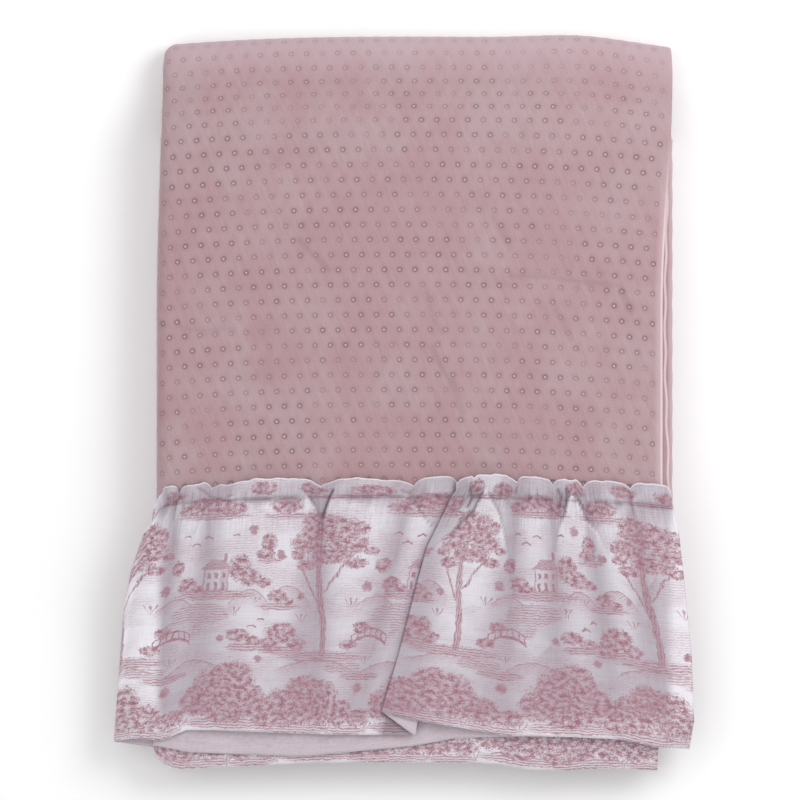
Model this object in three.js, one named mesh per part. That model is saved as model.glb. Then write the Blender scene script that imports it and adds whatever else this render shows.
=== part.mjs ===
// Folded quilt: a padded velvet bedspread with a gathered, printed ruffle along its lower hem.
// Millimetres, +Z up. It lies flat on a surface, face up, with its ruffle toward -Y.
// The panel is folded in four across (X) and then in three lengthwise (Y).
// Each piece is one solid: quilt_body is the whole padded panel, ruffle is the whole gathered strip.
import * as THREE from "three";

// Cloth of the padded panel and the room between its layers
const LAYER = 6;
const GAP = 1;
const TIGHT = GAP / 2;
const GROUP = 4 * LAYER + 3 * GAP;
const PASS = GROUP + GAP;
const STACK = 3 * PASS - GAP;

// Outline of the folded panel, seen from above
const LEFT_EDGE = -287.5;
const TOP_HEM_EDGE = 301;
const NEXT_HEM_EDGE = 306;
const FOLD_EDGE = 311.5;
const FAR_END = 427;
const NEAR_END = -376;
const RUFFLED_HEM = -131;
const LOWEST_HEM = 320;
const HALF_WIDTH = 300;
const ARCH = 12;
const ARCH_POWER = 2.4;

// Side edges: they spread toward the far end, and the lower passes lie a little to one side
const FLARE_FROM = 120;
const FLARE_TO = 400;
const FLARE = { left: 6, topHem: 12, nextHem: 5 };
const SHIFT = 2;

// Far end: the two upper passes sag past the lowest hem and are pressed a little thinner
const SAG = 27;
const SAG_FROM = 322;
const SAG_TO = 400;
const PRESS = 0.2;

// Crown and soft unevenness of the pile, as shares of the height
const CROWN = 0.06;
const CROWN_POWER = 4;
const UNEVEN = 0.009;
const WAVE_ACROSS = 88;
const WAVE_ALONG = 105;
const WAVE_SLANTED = 61;

// Quilting: spot-welded dots in staggered rows
const DOT_PITCH = 18;
const ROW_PITCH = 17.5;
const DOT_DEPTH = 2;
const FIRST_HALF_ROW = 30;
const LAST_ROW = 33;

// Steps of the folds and shares at which a straight stretch is divided
const LEFT_FOLD_STEPS = 6;
const SMALL_FOLD_STEPS = 4;
const TIGHT_STEPS = 2;
const STRETCH_SHARES = [0.14, 0.5, 0.86];

// Places of the sections: quilting rows, angles of the two big folds, and Y along the lower passes
const LEVEL_ROWS = [0, 6, 12, 18, 22];
const FIRST_SAG_ROW = 24;
const FAR_FOLD_ANGLES = [2.1, 2.5, 2.85];
const MIDDLE_PLACES = [384, 366, 349, 332, 315, 250, 120, -20, -190];
const NEAR_FOLD_ANGLES = [0.4, 0.8, 1.2, 1.6, 2, 2.4, 2.8];
const LOWEST_PLACES = [-190, -20, 120, 250];

// Ruffle strip and its heading, which stands above the gather line and dips at each gather
const RUFFLE_THICKNESS = 1.5;
const REST = 0.6;
const HEADING_TOP = -84;
const HEADING_SHARE = 0.086;
const HEADING_LIFT = 2.5;
const NOTCH = 8;

// Pleat in the top layer: height from layer to layer, depth at the heading and the hem, and how far
// the cloth beside it stays raised
const PLEAT_LEVEL = 3;
const PLEAT_DEPTH_HEAD = 6;
const PLEAT_DEPTH_HEM = 36;
const RAISED_REACH = 90;

// Hidden layers, turns between layers, and the spacing of points
const HIDDEN_START = 3;
const HIDDEN_SHARES = [0, 0.03, 0.07, 0.14, 0.38, 0.62, 0.86, 1];
const INNER_FOLD_HEAD = -272;
const INNER_FOLD_HEM = -290;
const RIGHT_FOLD_HEM = 299;
const TURN_STEPS = 4;
const SIDE_TURN_STEPS = 8;
const TURN_FULLNESS = 0.85;
const TURN_SLANT = 0.8;
const ROUND = 0.5;
const SIDE_REACH = 0.6;
const TOP_STEP = 12;

// The strip sinks from the panel's hem to the layer below it, and droops past the block's edges
const SINKS_FROM = 134;
const SINKS_TO = 290;
const DROOP_FROM = -352;
const DROOP_LENGTH = 50;
const DROOP = 5;
const SIDE_DROOP_FROM = -291.5;
const SIDE_DROOP_LENGTH = 48;
const SIDE_DROOP = 14;
const SIDE_DROOP_POWER = 1.6;

const clamp = (value) => Math.min(1, Math.max(0, value));
const mix = (a, b, share) => a + (b - a) * share;

function smooth(from, to, value) {
  const share = clamp((value - from) / (to - from));
  return share * share * (3 - 2 * share);
}

// Reads a curve given as a short table of [along, value] rows
function curve(rows, along) {
  if (along <= rows[0][0]) return rows[0][1];
  for (let i = 1; i < rows.length; i++) {
    const [to, value] = rows[i];
    const [from, before] = rows[i - 1];
    if (along <= to) return mix(before, value, (along - from) / (to - from));
  }
  return rows[rows.length - 1][1];
}

// Soft shape shared by both pieces: how far a row arches and how high a point of the stack lies
const arch = (x) => ARCH * Math.abs(x / HALF_WIDTH) ** ARCH_POWER;

function softHeight(x, y, z) {
  const crown = CROWN * Math.abs(x / HALF_WIDTH) ** CROWN_POWER;
  const level = Math.sin(x / WAVE_ACROSS + 0.7) * Math.cos(y / WAVE_ALONG);
  const slanted = 0.6 * Math.sin((x + y) / WAVE_SLANTED);
  return z * (1 - crown + UNEVEN * (level + slanted));
}

// Closed surface made of strips between rows of points; each point has its place along its row
class Shell {
  constructor() {
    this.positions = [];
    this.faces = [];
  }

  point(x, y, z, at) {
    this.positions.push(x, y, z);
    return { id: this.positions.length / 3 - 1, at };
  }

  // Strip between two rows that run the same way; it faces (direction of first) x (first to second).
  // Where both rows have a point at the same place, firstLeads says from which row the next step goes.
  strip(first, second, firstLeads = true) {
    let i = 0;
    let j = 0;
    while (i < first.length - 1 || j < second.length - 1) {
      const ahead = i < first.length - 1 ? first[i + 1].at : Infinity;
      const beside = j < second.length - 1 ? second[j + 1].at : Infinity;
      if (ahead < beside || (ahead === beside && firstLeads)) {
        this.faces.push(first[i].id, first[i + 1].id, second[j].id);
        i += 1;
      } else {
        this.faces.push(first[i].id, second[j + 1].id, second[j].id);
        j += 1;
      }
    }
  }

  mesh(name, color, roughness) {
    const geometry = new THREE.BufferGeometry();
    geometry.setAttribute("position", new THREE.Float32BufferAttribute(this.positions, 3));
    geometry.setIndex(this.faces);
    geometry.computeVertexNormals();
    const mesh = new THREE.Mesh(geometry, new THREE.MeshStandardMaterial({ color, roughness, metalness: 0 }));
    mesh.name = name;
    return mesh;
  }
}

// Padded panel, its lengthwise route
const FOLD_REACH = GROUP + TIGHT;
const FAR_BEND = FAR_END - FOLD_REACH;
const NEAR_BEND = NEAR_END + FOLD_REACH;
const UPPER_RUN = FAR_BEND - RUFFLED_HEM;

// Side edges of the panel at one place of its route; turn counts from 0 on top to 2 at the bottom
function edges(y, turn) {
  const far = smooth(FLARE_FROM, FLARE_TO, y);
  const shift = SHIFT * Math.sin(turn * 2);
  return {
    left: LEFT_EDGE + FLARE.left * far + shift,
    topHem: TOP_HEM_EDGE + FLARE.topHem * far - shift,
    nextHem: NEXT_HEM_EDGE + FLARE.nextHem * far - shift,
    fold: FOLD_EDGE - shift,
  };
}

// A place of the route: a stretch of one pass, or an angle of one of the two big folds
function route(place, height) {
  if (place.angle === undefined) {
    const z = [2 * PASS + height, 2 * PASS - GAP - height, height][place.pass];
    return { y: place.y, z, sags: place.pass < 2 };
  }
  const far = place.pass < 1;
  const radius = far ? TIGHT + height : TIGHT + GROUP - height;
  const centre = far ? 2 * PASS - TIGHT : PASS - TIGHT;
  const out = radius * Math.sin(place.angle);
  return { y: far ? FAR_BEND + out : NEAR_BEND - out, z: centre + radius * Math.cos(place.angle), sags: far };
}

function bodyPoint(shell, place, x, height, at) {
  const { y, z, sags } = route(place, height);
  const sag = sags ? SAG * smooth(SAG_FROM, SAG_TO, y) : 0;
  const pressed = (z - sag) * (1 - PRESS * smooth(SAG_FROM, FAR_END, y));
  const lies = y - arch(x);
  return shell.point(x, lies, softHeight(x, lies, pressed), at);
}

function stretch(from, to, height) {
  return STRETCH_SHARES.map((share) => ({ x: mix(from, to, share), height, share }));
}

// Half circle about x, height; side -1 bulges left and 1 right; rising says which end comes first
function bend(x, height, radius, side, rising, steps) {
  const points = [];
  for (let i = 0; i <= steps; i++) {
    const share = i / steps;
    const angle = Math.PI * (rising ? share : 1 - share);
    points.push({ x: x + side * radius * Math.sin(angle), height: height - radius * Math.cos(angle), share });
  }
  return points;
}

// Section across the panel without its uppermost face: the right side, then the reverse side, each
// point with its place along the cloth, so that both sides can be joined at the two cut ends.
function section(edge) {
  const left = edge.left + GROUP / 2;
  const right = edge.fold - LAYER - TIGHT;
  const hemRadius = LAYER / 2;
  const topEnd = edge.topHem - hemRadius;
  const nextEnd = edge.nextHem - hemRadius;
  const leftHeight = GROUP / 2;
  const rightHeight = LAYER + TIGHT;
  const top = GROUP - LAYER;
  const next = 2 * LAYER + 2 * GAP;
  const from = (start, points) => points.map((point) => ({ ...point, at: start + point.share }));
  return {
    face: [
      ...from(1, bend(left, leftHeight, GROUP / 2, -1, false, LEFT_FOLD_STEPS)),
      ...from(2, stretch(left, right, 0)),
      ...from(3, bend(right, rightHeight, LAYER + TIGHT, 1, true, SMALL_FOLD_STEPS)),
      ...from(4, stretch(right, left, 2 * LAYER + GAP)),
      ...from(5, bend(left, leftHeight, TIGHT, -1, true, TIGHT_STEPS)),
      ...from(6, stretch(left, nextEnd, next)),
      { x: nextEnd, height: next, at: 7 },
    ],
    reverse: [
      ...from(-1, bend(topEnd, GROUP - hemRadius, hemRadius, 1, false, TIGHT_STEPS)),
      ...from(0, stretch(topEnd, left, top)),
      ...from(1, bend(left, leftHeight, leftHeight - LAYER, -1, false, LEFT_FOLD_STEPS)),
      ...from(2, stretch(left, right, LAYER)),
      ...from(3, bend(right, rightHeight, TIGHT, 1, true, TIGHT_STEPS)),
      ...from(4, stretch(right, left, LAYER + GAP)),
      ...from(5, bend(left, leftHeight, LAYER + TIGHT, -1, true, SMALL_FOLD_STEPS)),
      ...from(6, stretch(left, nextEnd, next + LAYER)),
      ...from(7, bend(nextEnd, next + hemRadius, hemRadius, 1, false, TIGHT_STEPS)).slice(0, -1),
    ],
    topEnd,
    left,
  };
}

// Place of a quilting row, counted from the ruffled hem
function rowPlace(row) {
  const past = row * ROW_PITCH - UPPER_RUN;
  if (past > 0) return { pass: 0, row, angle: past / FOLD_REACH };
  return { pass: 0, row, y: RUFFLED_HEM + row * ROW_PITCH };
}

// Places of the route at which a section is laid
function routePlaces() {
  const places = [];
  for (const row of LEVEL_ROWS) places.push(rowPlace(row));
  for (let row = FIRST_SAG_ROW; row < FIRST_HALF_ROW; row++) places.push(rowPlace(row));
  for (let row = FIRST_HALF_ROW; row <= LAST_ROW; row += 0.5) places.push(rowPlace(row));
  for (const angle of FAR_FOLD_ANGLES) places.push({ pass: 0, angle });
  for (const y of [FAR_BEND, ...MIDDLE_PLACES, NEAR_BEND]) places.push({ pass: 1, y });
  for (const angle of NEAR_FOLD_ANGLES) places.push({ pass: 1, angle });
  for (const y of [NEAR_BEND, ...LOWEST_PLACES, LOWEST_HEM]) places.push({ pass: 2, y });
  return places;
}

// Dots lie at every second point of a row, staggered from row to row
const isDot = (column, row) => Number.isInteger(row) && (column + row) % 2 === 0;

// Quilted upper face: low points at the dots, high points between them
function quiltRow(shell, row, cells, place) {
  const edge = edges(route(place, GROUP).y, 0);
  const { topEnd, left } = section(edge);
  const points = [];
  for (let i = 1; i < cells; i++) {
    const x = mix(left, topEnd, i / cells);
    points.push(bodyPoint(shell, place, x, isDot(i, row) ? GROUP - DOT_DEPTH : GROUP, i / cells));
  }
  return points;
}

function quiltBody() {
  const shell = new Shell();
  const places = routePlaces();
  const lastQuilted = places.findIndex((place) => place.row === LAST_ROW);
  const loops = places.map((place, step) => {
    const turn = place.pass + (place.angle ?? 0) / Math.PI;
    const shape = section(edges(route(place, GROUP).y, turn));
    const build = (points) => points.map(({ x, height, at }) => bodyPoint(shell, place, x, height, at));
    const face = build(shape.face);
    const reverse = build(shape.reverse);
    const plain = stretch(shape.left, shape.topEnd, GROUP).map((point) => ({ ...point, at: point.share }));
    return { face, reverse, upper: step > lastQuilted ? build(plain) : [] };
  });

  // Rows of the upper face, between the fold at its left and its hem at the right
  const cells = Math.round((TOP_HEM_EDGE - LEFT_EDGE - GROUP / 2) / (DOT_PITCH / 2));
  const rows = [];
  for (let row = 0; row <= LAST_ROW; row += row < FIRST_HALF_ROW ? 1 : 0.5) {
    rows.push({ row, points: quiltRow(shell, row, cells, rowPlace(row)) });
  }
  for (let i = 1; i < rows.length; i++) dimpledStrip(shell, rows[i - 1], rows[i]);

  // Long borders of the upper face
  const along = (points, place) => points.map((point, i) => ({ id: point.id, at: place(i) }));
  const quilted = loops.slice(0, lastQuilted + 1);
  const leftBorder = along(quilted.map((loop) => loop.face[0]), (i) => places[i].row);
  const rightBorder = along(quilted.map((loop) => loop.reverse[0]), (i) => places[i].row);
  const firstColumn = along(rows.map((row) => row.points[0]), (i) => rows[i].row);
  const lastColumn = along(rows.map((row) => row.points.at(-1)), (i) => rows[i].row);
  shell.strip(firstColumn, leftBorder);
  shell.strip(rightBorder, lastColumn);

  // All other faces, from one section to the next
  const across = (step, inner) => [
    { id: loops[step].face[0].id, at: 0 },
    ...inner,
    { id: loops[step].reverse[0].id, at: 1 },
  ];
  for (let step = 0; step < loops.length - 1; step++) {
    shell.strip(loops[step + 1].face, loops[step].face);
    shell.strip(loops[step].reverse, loops[step + 1].reverse);
    shell.strip(
      [loops[step + 1].face.at(-1), { ...loops[step + 1].reverse.at(-1), at: 8 }],
      [loops[step].face.at(-1), { ...loops[step].reverse.at(-1), at: 8 }],
    );
    if (step >= lastQuilted) {
      const before = step === lastQuilted ? rows.at(-1).points : loops[step].upper;
      shell.strip(across(step, before), across(step + 1, loops[step + 1].upper));
    }
  }

  // Cut ends: the ruffled hem and the lowest hem
  const ends = [
    [loops[0], rows[0].points],
    [loops.at(-1), loops.at(-1).upper],
  ].map(([loop, inner]) => {
    const upper = inner.map((point) => ({ id: point.id, at: 1 - point.at })).reverse();
    return { face: [{ ...loop.reverse[0], at: 0 }, ...upper, ...loop.face], reverse: loop.reverse.slice(1) };
  });
  shell.strip(ends[0].face, ends[0].reverse);
  shell.strip(ends[1].reverse, ends[1].face);
  return shell.mesh("quilt_body", 0xb49699, 0.95);
}

// Cells between two quilting rows, each split so that its ridge joins the two high points
function dimpledStrip(shell, lower, upper) {
  for (let i = 0; i < lower.points.length - 1; i++) {
    const [a, b] = [lower.points[i].id, lower.points[i + 1].id];
    const [d, c] = [upper.points[i].id, upper.points[i + 1].id];
    const column = i + 1;
    if (isDot(column, lower.row) || isDot(column + 1, upper.row)) shell.faces.push(a, b, d, b, c, d);
    else shell.faces.push(a, b, c, a, c, d);
  }
}

// Ruffle: lines where its gathers meet, from the heading to its hem, and how high the cloth arches
// between a line and the next one to its right
const GATHERS = [
  { head: -290, hem: -338, rise: 5, fall: 2 },
  { head: -262, hem: -300, rise: 6, fall: 2 },
  { head: -224, hem: -254, rise: 10, fall: 4 },
  { head: -97, hem: -112, rise: 8, fall: 3 },
  { head: 11, hem: -62, rise: 5, fall: 2 },
  { head: 57, hem: -25, rise: 8, fall: 4 },
  { head: 131, hem: 110, rise: 6, fall: 3 },
  { head: 173, hem: 175, rise: 5, fall: 3 },
  { head: 208, hem: 245, rise: 6, fall: 3 },
  { head: 263, hem: 300, rise: 4, fall: 2 },
];
const PLEAT = 5;

// Side edges and the pleat's fold, as [y, x]; hems as [x, y]
const RUFFLE_LEFT = [
  [-396, -338], [-328, -334], [-225, -327], [-178, -319], [-137, -306], [-118, -293.5], [-95, -292],
];
const RUFFLE_RIGHT = [
  [-403, 332], [-370, 338], [-287, 334.5], [-214, 327], [-152, 320], [-128, 314], [-103, 311],
];
const PLEAT_FOLD = [[-361, -25], [-294, -6], [-201, 18], [-165, 28], [-132, 45], [-98, 62]];
const LEFT_HEM = [
  [-338, -395.5], [-318, -392], [-283, -394], [-254, -382], [-222, -382], [-92, -387], [12, -388],
];
const RIGHT_HEM = [
  [-25, -361], [11, -370], [70, -380], [118, -388.5], [192, -390], [254, -393], [298, -402.5], [338, -404],
];
const REVERSE_HEM = [[-292, -400], [-250, -408], [-117, -413], [14, -400], [63, -391], [311, -386]];
const PRINTED_HEM = [
  [-292, -402], [-270, -419], [-247, -425], [-92, -417], [42, -418], [116, -420], [154, -428], [206, -424],
  [299, -429],
];
const LOWEST_RUFFLE_HEM = [[-338, -395.5], [-280, -404], [0, -408], [299, -429]];

// Places down the ruffle, as shares from its heading's edge to its hem, with the share of the
// gathers' height that is left there
const DOWN = [
  { share: 0, gather: 0.7 },
  { share: 0.045, gather: 0.5 },
  { share: HEADING_SHARE, gather: 0.3 },
  { share: 0.125, gather: 0.75 },
  { share: 0.165, gather: 1 },
  { share: 0.21, gather: 1 },
  { share: 0.27, gather: 0.95 },
  { share: 0.36, gather: 0.8 },
  { share: 0.48, gather: 0.6 },
  { share: 0.62, gather: 0.4 },
  { share: 0.76, gather: 0.2 },
  { share: 0.89, gather: 0.1 },
  { share: 1, gather: 0 },
];

// Level of each ruffle layer, from the lowest to the top one: at the panel's hem it lies at its own
// panel layer, and further down it lies on the next ruffle layer
const LEVELS = [
  { sewn: 2 * PASS + 1.2, lies: 2 * PASS + 1 },
  { sewn: 2 * PASS + 11.8, lies: 2 * PASS + 4.5 },
  { sewn: 2 * PASS + 15.2, lies: 2 * PASS + 8 },
  { sewn: STACK + REST + RUFFLE_THICKNESS / 2, lies: 2 * PASS + 12 },
];

function layerLevel(layer, x, y) {
  const { sewn, lies } = LEVELS[layer];
  const past = Math.max(0, DROOP_FROM - y) / DROOP_LENGTH;
  const beside = Math.max(0, SIDE_DROOP_FROM - x, x - FOLD_EDGE) / SIDE_DROOP_LENGTH;
  const droop = DROOP * past ** 2 + SIDE_DROOP * beside ** SIDE_DROOP_POWER;
  return mix(sewn, lies, smooth(SINKS_FROM, SINKS_TO, -y)) - droop;
}

// Places of the top layer: its length runs from its heading to its hem, its fold slants to the left
const topY = (x, hem, down) => mix(HEADING_TOP - arch(x), curve(hem, x), down.share);
const pleatFold = (down) => curve(PLEAT_FOLD, mix(HEADING_TOP, PLEAT_FOLD[0][0], down.share));
const pleatDepth = (down) => mix(PLEAT_DEPTH_HEAD, PLEAT_DEPTH_HEM, down.share);

// Gather lines across the top layer at one place down it, with its two side edges
function gatherLines(down) {
  const lines = GATHERS.map(({ head, hem }) => mix(head, hem, down.share));
  const edgeY = topY(lines[0], LEFT_HEM, down);
  const depth = layerLevel(3, 0, edgeY) - layerLevel(0, 0, edgeY);
  lines[0] = curve(RUFFLE_LEFT, edgeY) + depth * SIDE_REACH;
  lines[PLEAT] = pleatFold(down);
  lines.push(curve(RUFFLE_RIGHT, topY(RUFFLE_RIGHT.at(-1)[1], RIGHT_HEM, down)));
  return lines;
}

// Height of the gathers at x, and how close it is to a line where they are pinched
function gather(x, lines, down) {
  const next = lines.findIndex((line) => line > x);
  const cell = next < 0 ? lines.length - 2 : Math.max(0, next - 1);
  const share = clamp((x - lines[cell]) / (lines[cell + 1] - lines[cell]));
  const { rise, fall } = GATHERS[cell];
  const arched = Math.sin(Math.PI * share);
  return { height: (fall * down.share + rise * down.gather) * arched, pinch: (1 - arched) ** 3 };
}

// Places across the top layer between two of its gather lines
function acrossCells(lines, first, last) {
  const places = [lines[first]];
  for (let cell = first; cell < last; cell++) {
    const width = (GATHERS[cell + 1]?.head ?? RUFFLE_RIGHT.at(-1)[1]) - GATHERS[cell].head;
    const steps = Math.max(3, Math.round(width / TOP_STEP));
    for (let i = 1; i <= steps; i++) places.push(mix(lines[cell], lines[cell + 1], i / steps));
  }
  return places;
}

// Half turn between two points at different levels; side -1 bulges left and 1 right
function turn(start, end, side, reachShare, steps = TURN_STEPS) {
  const points = [];
  const reach = Math.abs(end.z - start.z) * reachShare;
  for (let i = 1; i < steps; i++) {
    const angle = (Math.PI * i) / steps;
    const share = (1 - Math.cos(angle)) / 2;
    points.push({
      x: mix(start.x, end.x, share) + side * reach * Math.sin(angle) ** TURN_FULLNESS,
      y: mix(start.y, end.y, clamp(i / steps / TURN_SLANT)),
      z: mix(start.z, end.z, share),
    });
  }
  return points;
}

// Hidden layer of the strip between two sides, from the panel's hem to its own hem
function hiddenRun(layer, from, to, hem, down) {
  const shares = from < to ? HIDDEN_SHARES : HIDDEN_SHARES.map((share) => 1 - share).reverse();
  return shares.map((share) => {
    const x = mix(from, to, share);
    const y = mix(RUFFLED_HEM - HIDDEN_START - arch(x), curve(hem, x), down.share);
    return { x, y, z: layerLevel(layer, x, y) };
  });
}

// Middle line of the whole strip at one place down it, from the right hem of its top layer to the
// left, then the lowest layer, the printed one and the one with its reverse side up
function ruffleRow(down) {
  const lines = gatherLines(down);
  const fold = lines[PLEAT];
  const under = fold + pleatDepth(down);
  const heading = clamp(1 - down.share / HEADING_SHARE);
  const topPoint = (x, y, lift) => {
    const { height, pinch } = gather(x, lines, down);
    const z = layerLevel(3, x, y) + height + lift + HEADING_LIFT * heading;
    return { x, y: y - NOTCH * heading * pinch, z };
  };
  const raised = (x) => 2 * PLEAT_LEVEL * (1 - smooth(under, under + RAISED_REACH, x));

  const right = acrossCells(lines, PLEAT, GATHERS.length).reverse()
    .map((x) => topPoint(x, topY(x, RIGHT_HEM, down), raised(x)));
  const left = [under, mix(fold, under, 0.5), ...acrossCells(lines, 0, PLEAT).reverse()]
    .map((x) => topPoint(x, topY(x, LEFT_HEM, down), 0));
  const backY = (share) => mix(topY(fold, RIGHT_HEM, down), topY(under, LEFT_HEM, down), share);
  const back = [0, 0.5, 1].map((share) => topPoint(mix(fold, under, share), backY(share), PLEAT_LEVEL));

  const rightFold = mix(FOLD_EDGE, RIGHT_FOLD_HEM, down.share) - LAYER;
  const innerFold = mix(INNER_FOLD_HEAD, INNER_FOLD_HEM, down.share);
  const lowest = hiddenRun(0, left.at(-1).x, rightFold, LOWEST_RUFFLE_HEM, down);
  const printed = hiddenRun(1, rightFold, innerFold, PRINTED_HEM, down);
  const reversed = hiddenRun(2, innerFold, rightFold, REVERSE_HEM, down);
  return [
    ...right, ...turn(right.at(-1), back[0], -1, ROUND),
    ...back, ...turn(back.at(-1), left[0], 1, ROUND),
    ...left, ...turn(left.at(-1), lowest[0], -1, SIDE_REACH, SIDE_TURN_STEPS),
    ...lowest, ...turn(lowest.at(-1), printed[0], 1, ROUND),
    ...printed, ...turn(printed.at(-1), reversed[0], -1, ROUND),
    ...reversed,
  ];
}

// Both sides of the strip, half its thickness to either side of its middle line
function ruffleSides(shell, down) {
  const middle = ruffleRow(down);
  const half = RUFFLE_THICKNESS / 2;
  const side = (sign) => middle.map(({ x, y, z }, i) => {
    const before = middle[Math.max(0, i - 1)];
    const after = middle[Math.min(middle.length - 1, i + 1)];
    const length = Math.hypot(after.x - before.x, after.z - before.z);
    const offX = (sign * half * (after.z - before.z)) / length;
    const offZ = (-sign * half * (after.x - before.x)) / length;
    return shell.point(x + offX, y, softHeight(x + offX, y, z + offZ), i);
  });
  return { face: side(1), reverse: side(-1) };
}

// Narrow strip that closes one end of the ruffle between two rows
function hemEdge(shell, first, second) {
  const placed = (points) => points.map((point, at) => ({ id: point.id, at }));
  shell.strip(placed(first), placed(second));
}

function ruffle() {
  const shell = new Shell();
  const rows = DOWN.map((down) => ruffleSides(shell, down));
  for (let i = 1; i < rows.length; i++) {
    const above = rows[i - 1];
    const below = rows[i];
    shell.strip(above.face, below.face);
    shell.strip(below.reverse, above.reverse, false);
    hemEdge(shell, [above.face[0], below.face[0]], [above.reverse[0], below.reverse[0]]);
    hemEdge(shell, [above.reverse.at(-1), below.reverse.at(-1)], [above.face.at(-1), below.face.at(-1)]);
  }
  shell.strip(rows[0].reverse, rows[0].face);
  shell.strip(rows.at(-1).face, rows.at(-1).reverse);
  return shell.mesh("ruffle", 0xdcd4dc, 0.9);
}

// The origin is the bottom centre of the whole quilt's box
const quilt = new THREE.Group();
quilt.add(quiltBody(), ruffle());
const box = new THREE.Box3().setFromObject(quilt);
quilt.position.set(-(box.min.x + box.max.x) / 2, -(box.min.y + box.max.y) / 2, -box.min.z);

export default quilt;
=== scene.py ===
import functools
import math

import bpy
import numpy as np
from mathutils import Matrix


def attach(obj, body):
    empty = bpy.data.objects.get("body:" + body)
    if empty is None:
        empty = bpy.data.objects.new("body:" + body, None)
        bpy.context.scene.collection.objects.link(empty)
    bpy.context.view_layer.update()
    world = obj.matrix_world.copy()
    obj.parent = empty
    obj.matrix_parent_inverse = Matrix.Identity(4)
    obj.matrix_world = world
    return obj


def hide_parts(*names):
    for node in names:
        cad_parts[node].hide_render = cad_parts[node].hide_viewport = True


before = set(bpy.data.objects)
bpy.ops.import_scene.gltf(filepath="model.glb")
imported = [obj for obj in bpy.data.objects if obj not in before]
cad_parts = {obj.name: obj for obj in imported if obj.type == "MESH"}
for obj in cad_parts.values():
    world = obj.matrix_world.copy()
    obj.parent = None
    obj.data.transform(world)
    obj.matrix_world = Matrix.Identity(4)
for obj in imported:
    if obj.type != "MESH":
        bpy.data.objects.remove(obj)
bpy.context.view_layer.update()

# Folded quilt seen from straight above. Lengths are in millimetres until a mesh is made.
MM = 0.001

# From the panel's own middle to the frame's origin
PLACED = (0.336, 0.970)

# Camera: the middle of its view in the panel's own millimetres, and the width that it sees at a level
VIEW_CENTRE = (-5.0, 2.9)
VIEW_WIDTH = 932
VIEW_LEVEL = 84
CAMERA_HEIGHT = 30000
SENSOR_WIDTH = 36

# Lights: places and sizes in metres, and power in watts
SKY_LIGHT = 0.74
SOFT_KEY = {"place": (1.4, 1.0, 2.0), "size": 1.4, "power": 29}
SOFT_FILL = {"place": (-1.2, 0.0, 2.6), "size": 2.4, "power": 14}
FLOOR_SIZE = 8

# Cloth of the padded panel and the room between its layers
LAYER = 6
GAP = 1
TIGHT = GAP / 2
GROUP = 4 * LAYER + 3 * GAP
PASS = GROUP + GAP
STACK = 3 * PASS - GAP

# Outline of the folded panel
LEFT_EDGE = -287.5
TOP_HEM_EDGE = 301
NEXT_HEM_EDGE = 306
FOLD_EDGE = 311.5
FAR_END = 427
NEAR_END = -376
RUFFLED_HEM = -131
LOWEST_HEM = 320
HALF_WIDTH = 300
ARCH = 12
ARCH_POWER = 2.4

# Side edges: they spread toward the far end, the lower passes lie a little to one side, and the hem
# below the top one comes out and waves toward the ruffle
FLARED = (120, 400)
FLARE = {"left": 6, "top_hem": 12, "next_hem": 5}
SHIFT = 2
NEXT_HEM_OUT = 4
NEXT_HEM_DRIFTS = (70, -90)
NEXT_HEM_WAVE = 0.7
NEXT_HEM_PITCH = 9

# Far end: the two upper passes sag past the lowest hem and are pressed a little thinner
SAG = 27
SAG_FROM = 322
SAG_TO = 400
PRESS = 0.2

# Far edge: it bulges a little on the right
BULGE = 6
BULGE_AT = 205
BULGE_WIDTH = 70
BULGE_FROM = 260

# Cells along each side of a grid of random heights
GRID = 64

# Crown and soft unevenness of the pile, as shares of the height
CROWN = 0.06
CROWN_POWER = 4
UNEVEN = 0.009
WAVE_ACROSS = 88
WAVE_ALONG = 105
WAVE_SLANTED = 61
WAVE_START = 0.7
SLANTED_SHARE = 0.6

# Big folds of the route
FOLD_REACH = GROUP + TIGHT
FAR_BEND = FAR_END - FOLD_REACH
NEAR_BEND = NEAR_END + FOLD_REACH
UPPER_RUN = FAR_BEND - RUFFLED_HEM
MIDDLE_RUN = FAR_BEND - NEAR_BEND
LOWEST_RUN = LOWEST_HEM - NEAR_BEND

# Quilting: dots lie at every second column of a row, staggered from row to row, with low folds between
CELL = 9
COLUMNS = 64
SLACK_COLUMNS = 0.3
HEM_COLUMNS = 0.4
HEM_FADE = 0.8
ROW_PITCH = 17.5
FINE = 3
FINE_ROWS = 6
FIRST_ROW = 2 / FINE_ROWS
LOWER_ROWS = 2
HIDDEN_STEPS = 8
COARSE_STEPS = 12
DOT_DEPTH = 1.35
DOT_RADIUS = 3.4
DOT_STRENGTH = 0.85
DOT_UNEVEN = 0.35
PUFF = 0.5
DRAG = 0.5
SLANTED_DRAG = (13, 62)
UPRIGHT_DRAG = (11, 80)
SWELL = 0.6
SWELL_SIZE = (70, 90)
CREASE_LIP = 0.55
CREASE_LIP_AT = 1.7
FADE_ANGLES = (1.9, 2.9)
UPPER_LEVELS = (2 * PASS - 26, 2 * PASS - 8)
ROWS_PAST_FOLD = 5
FIRST_ROWS = (0.2, 1.5)

# Steps of the section's half circles, of the measured route and of its lower fold
ROLL_STEPS = 15
INNER_STEPS = 8
HEM_STEPS = 6
TIGHT_STEPS = 3
ROUTE_STEPS = 400
FOLD_STEPS = 16

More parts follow.
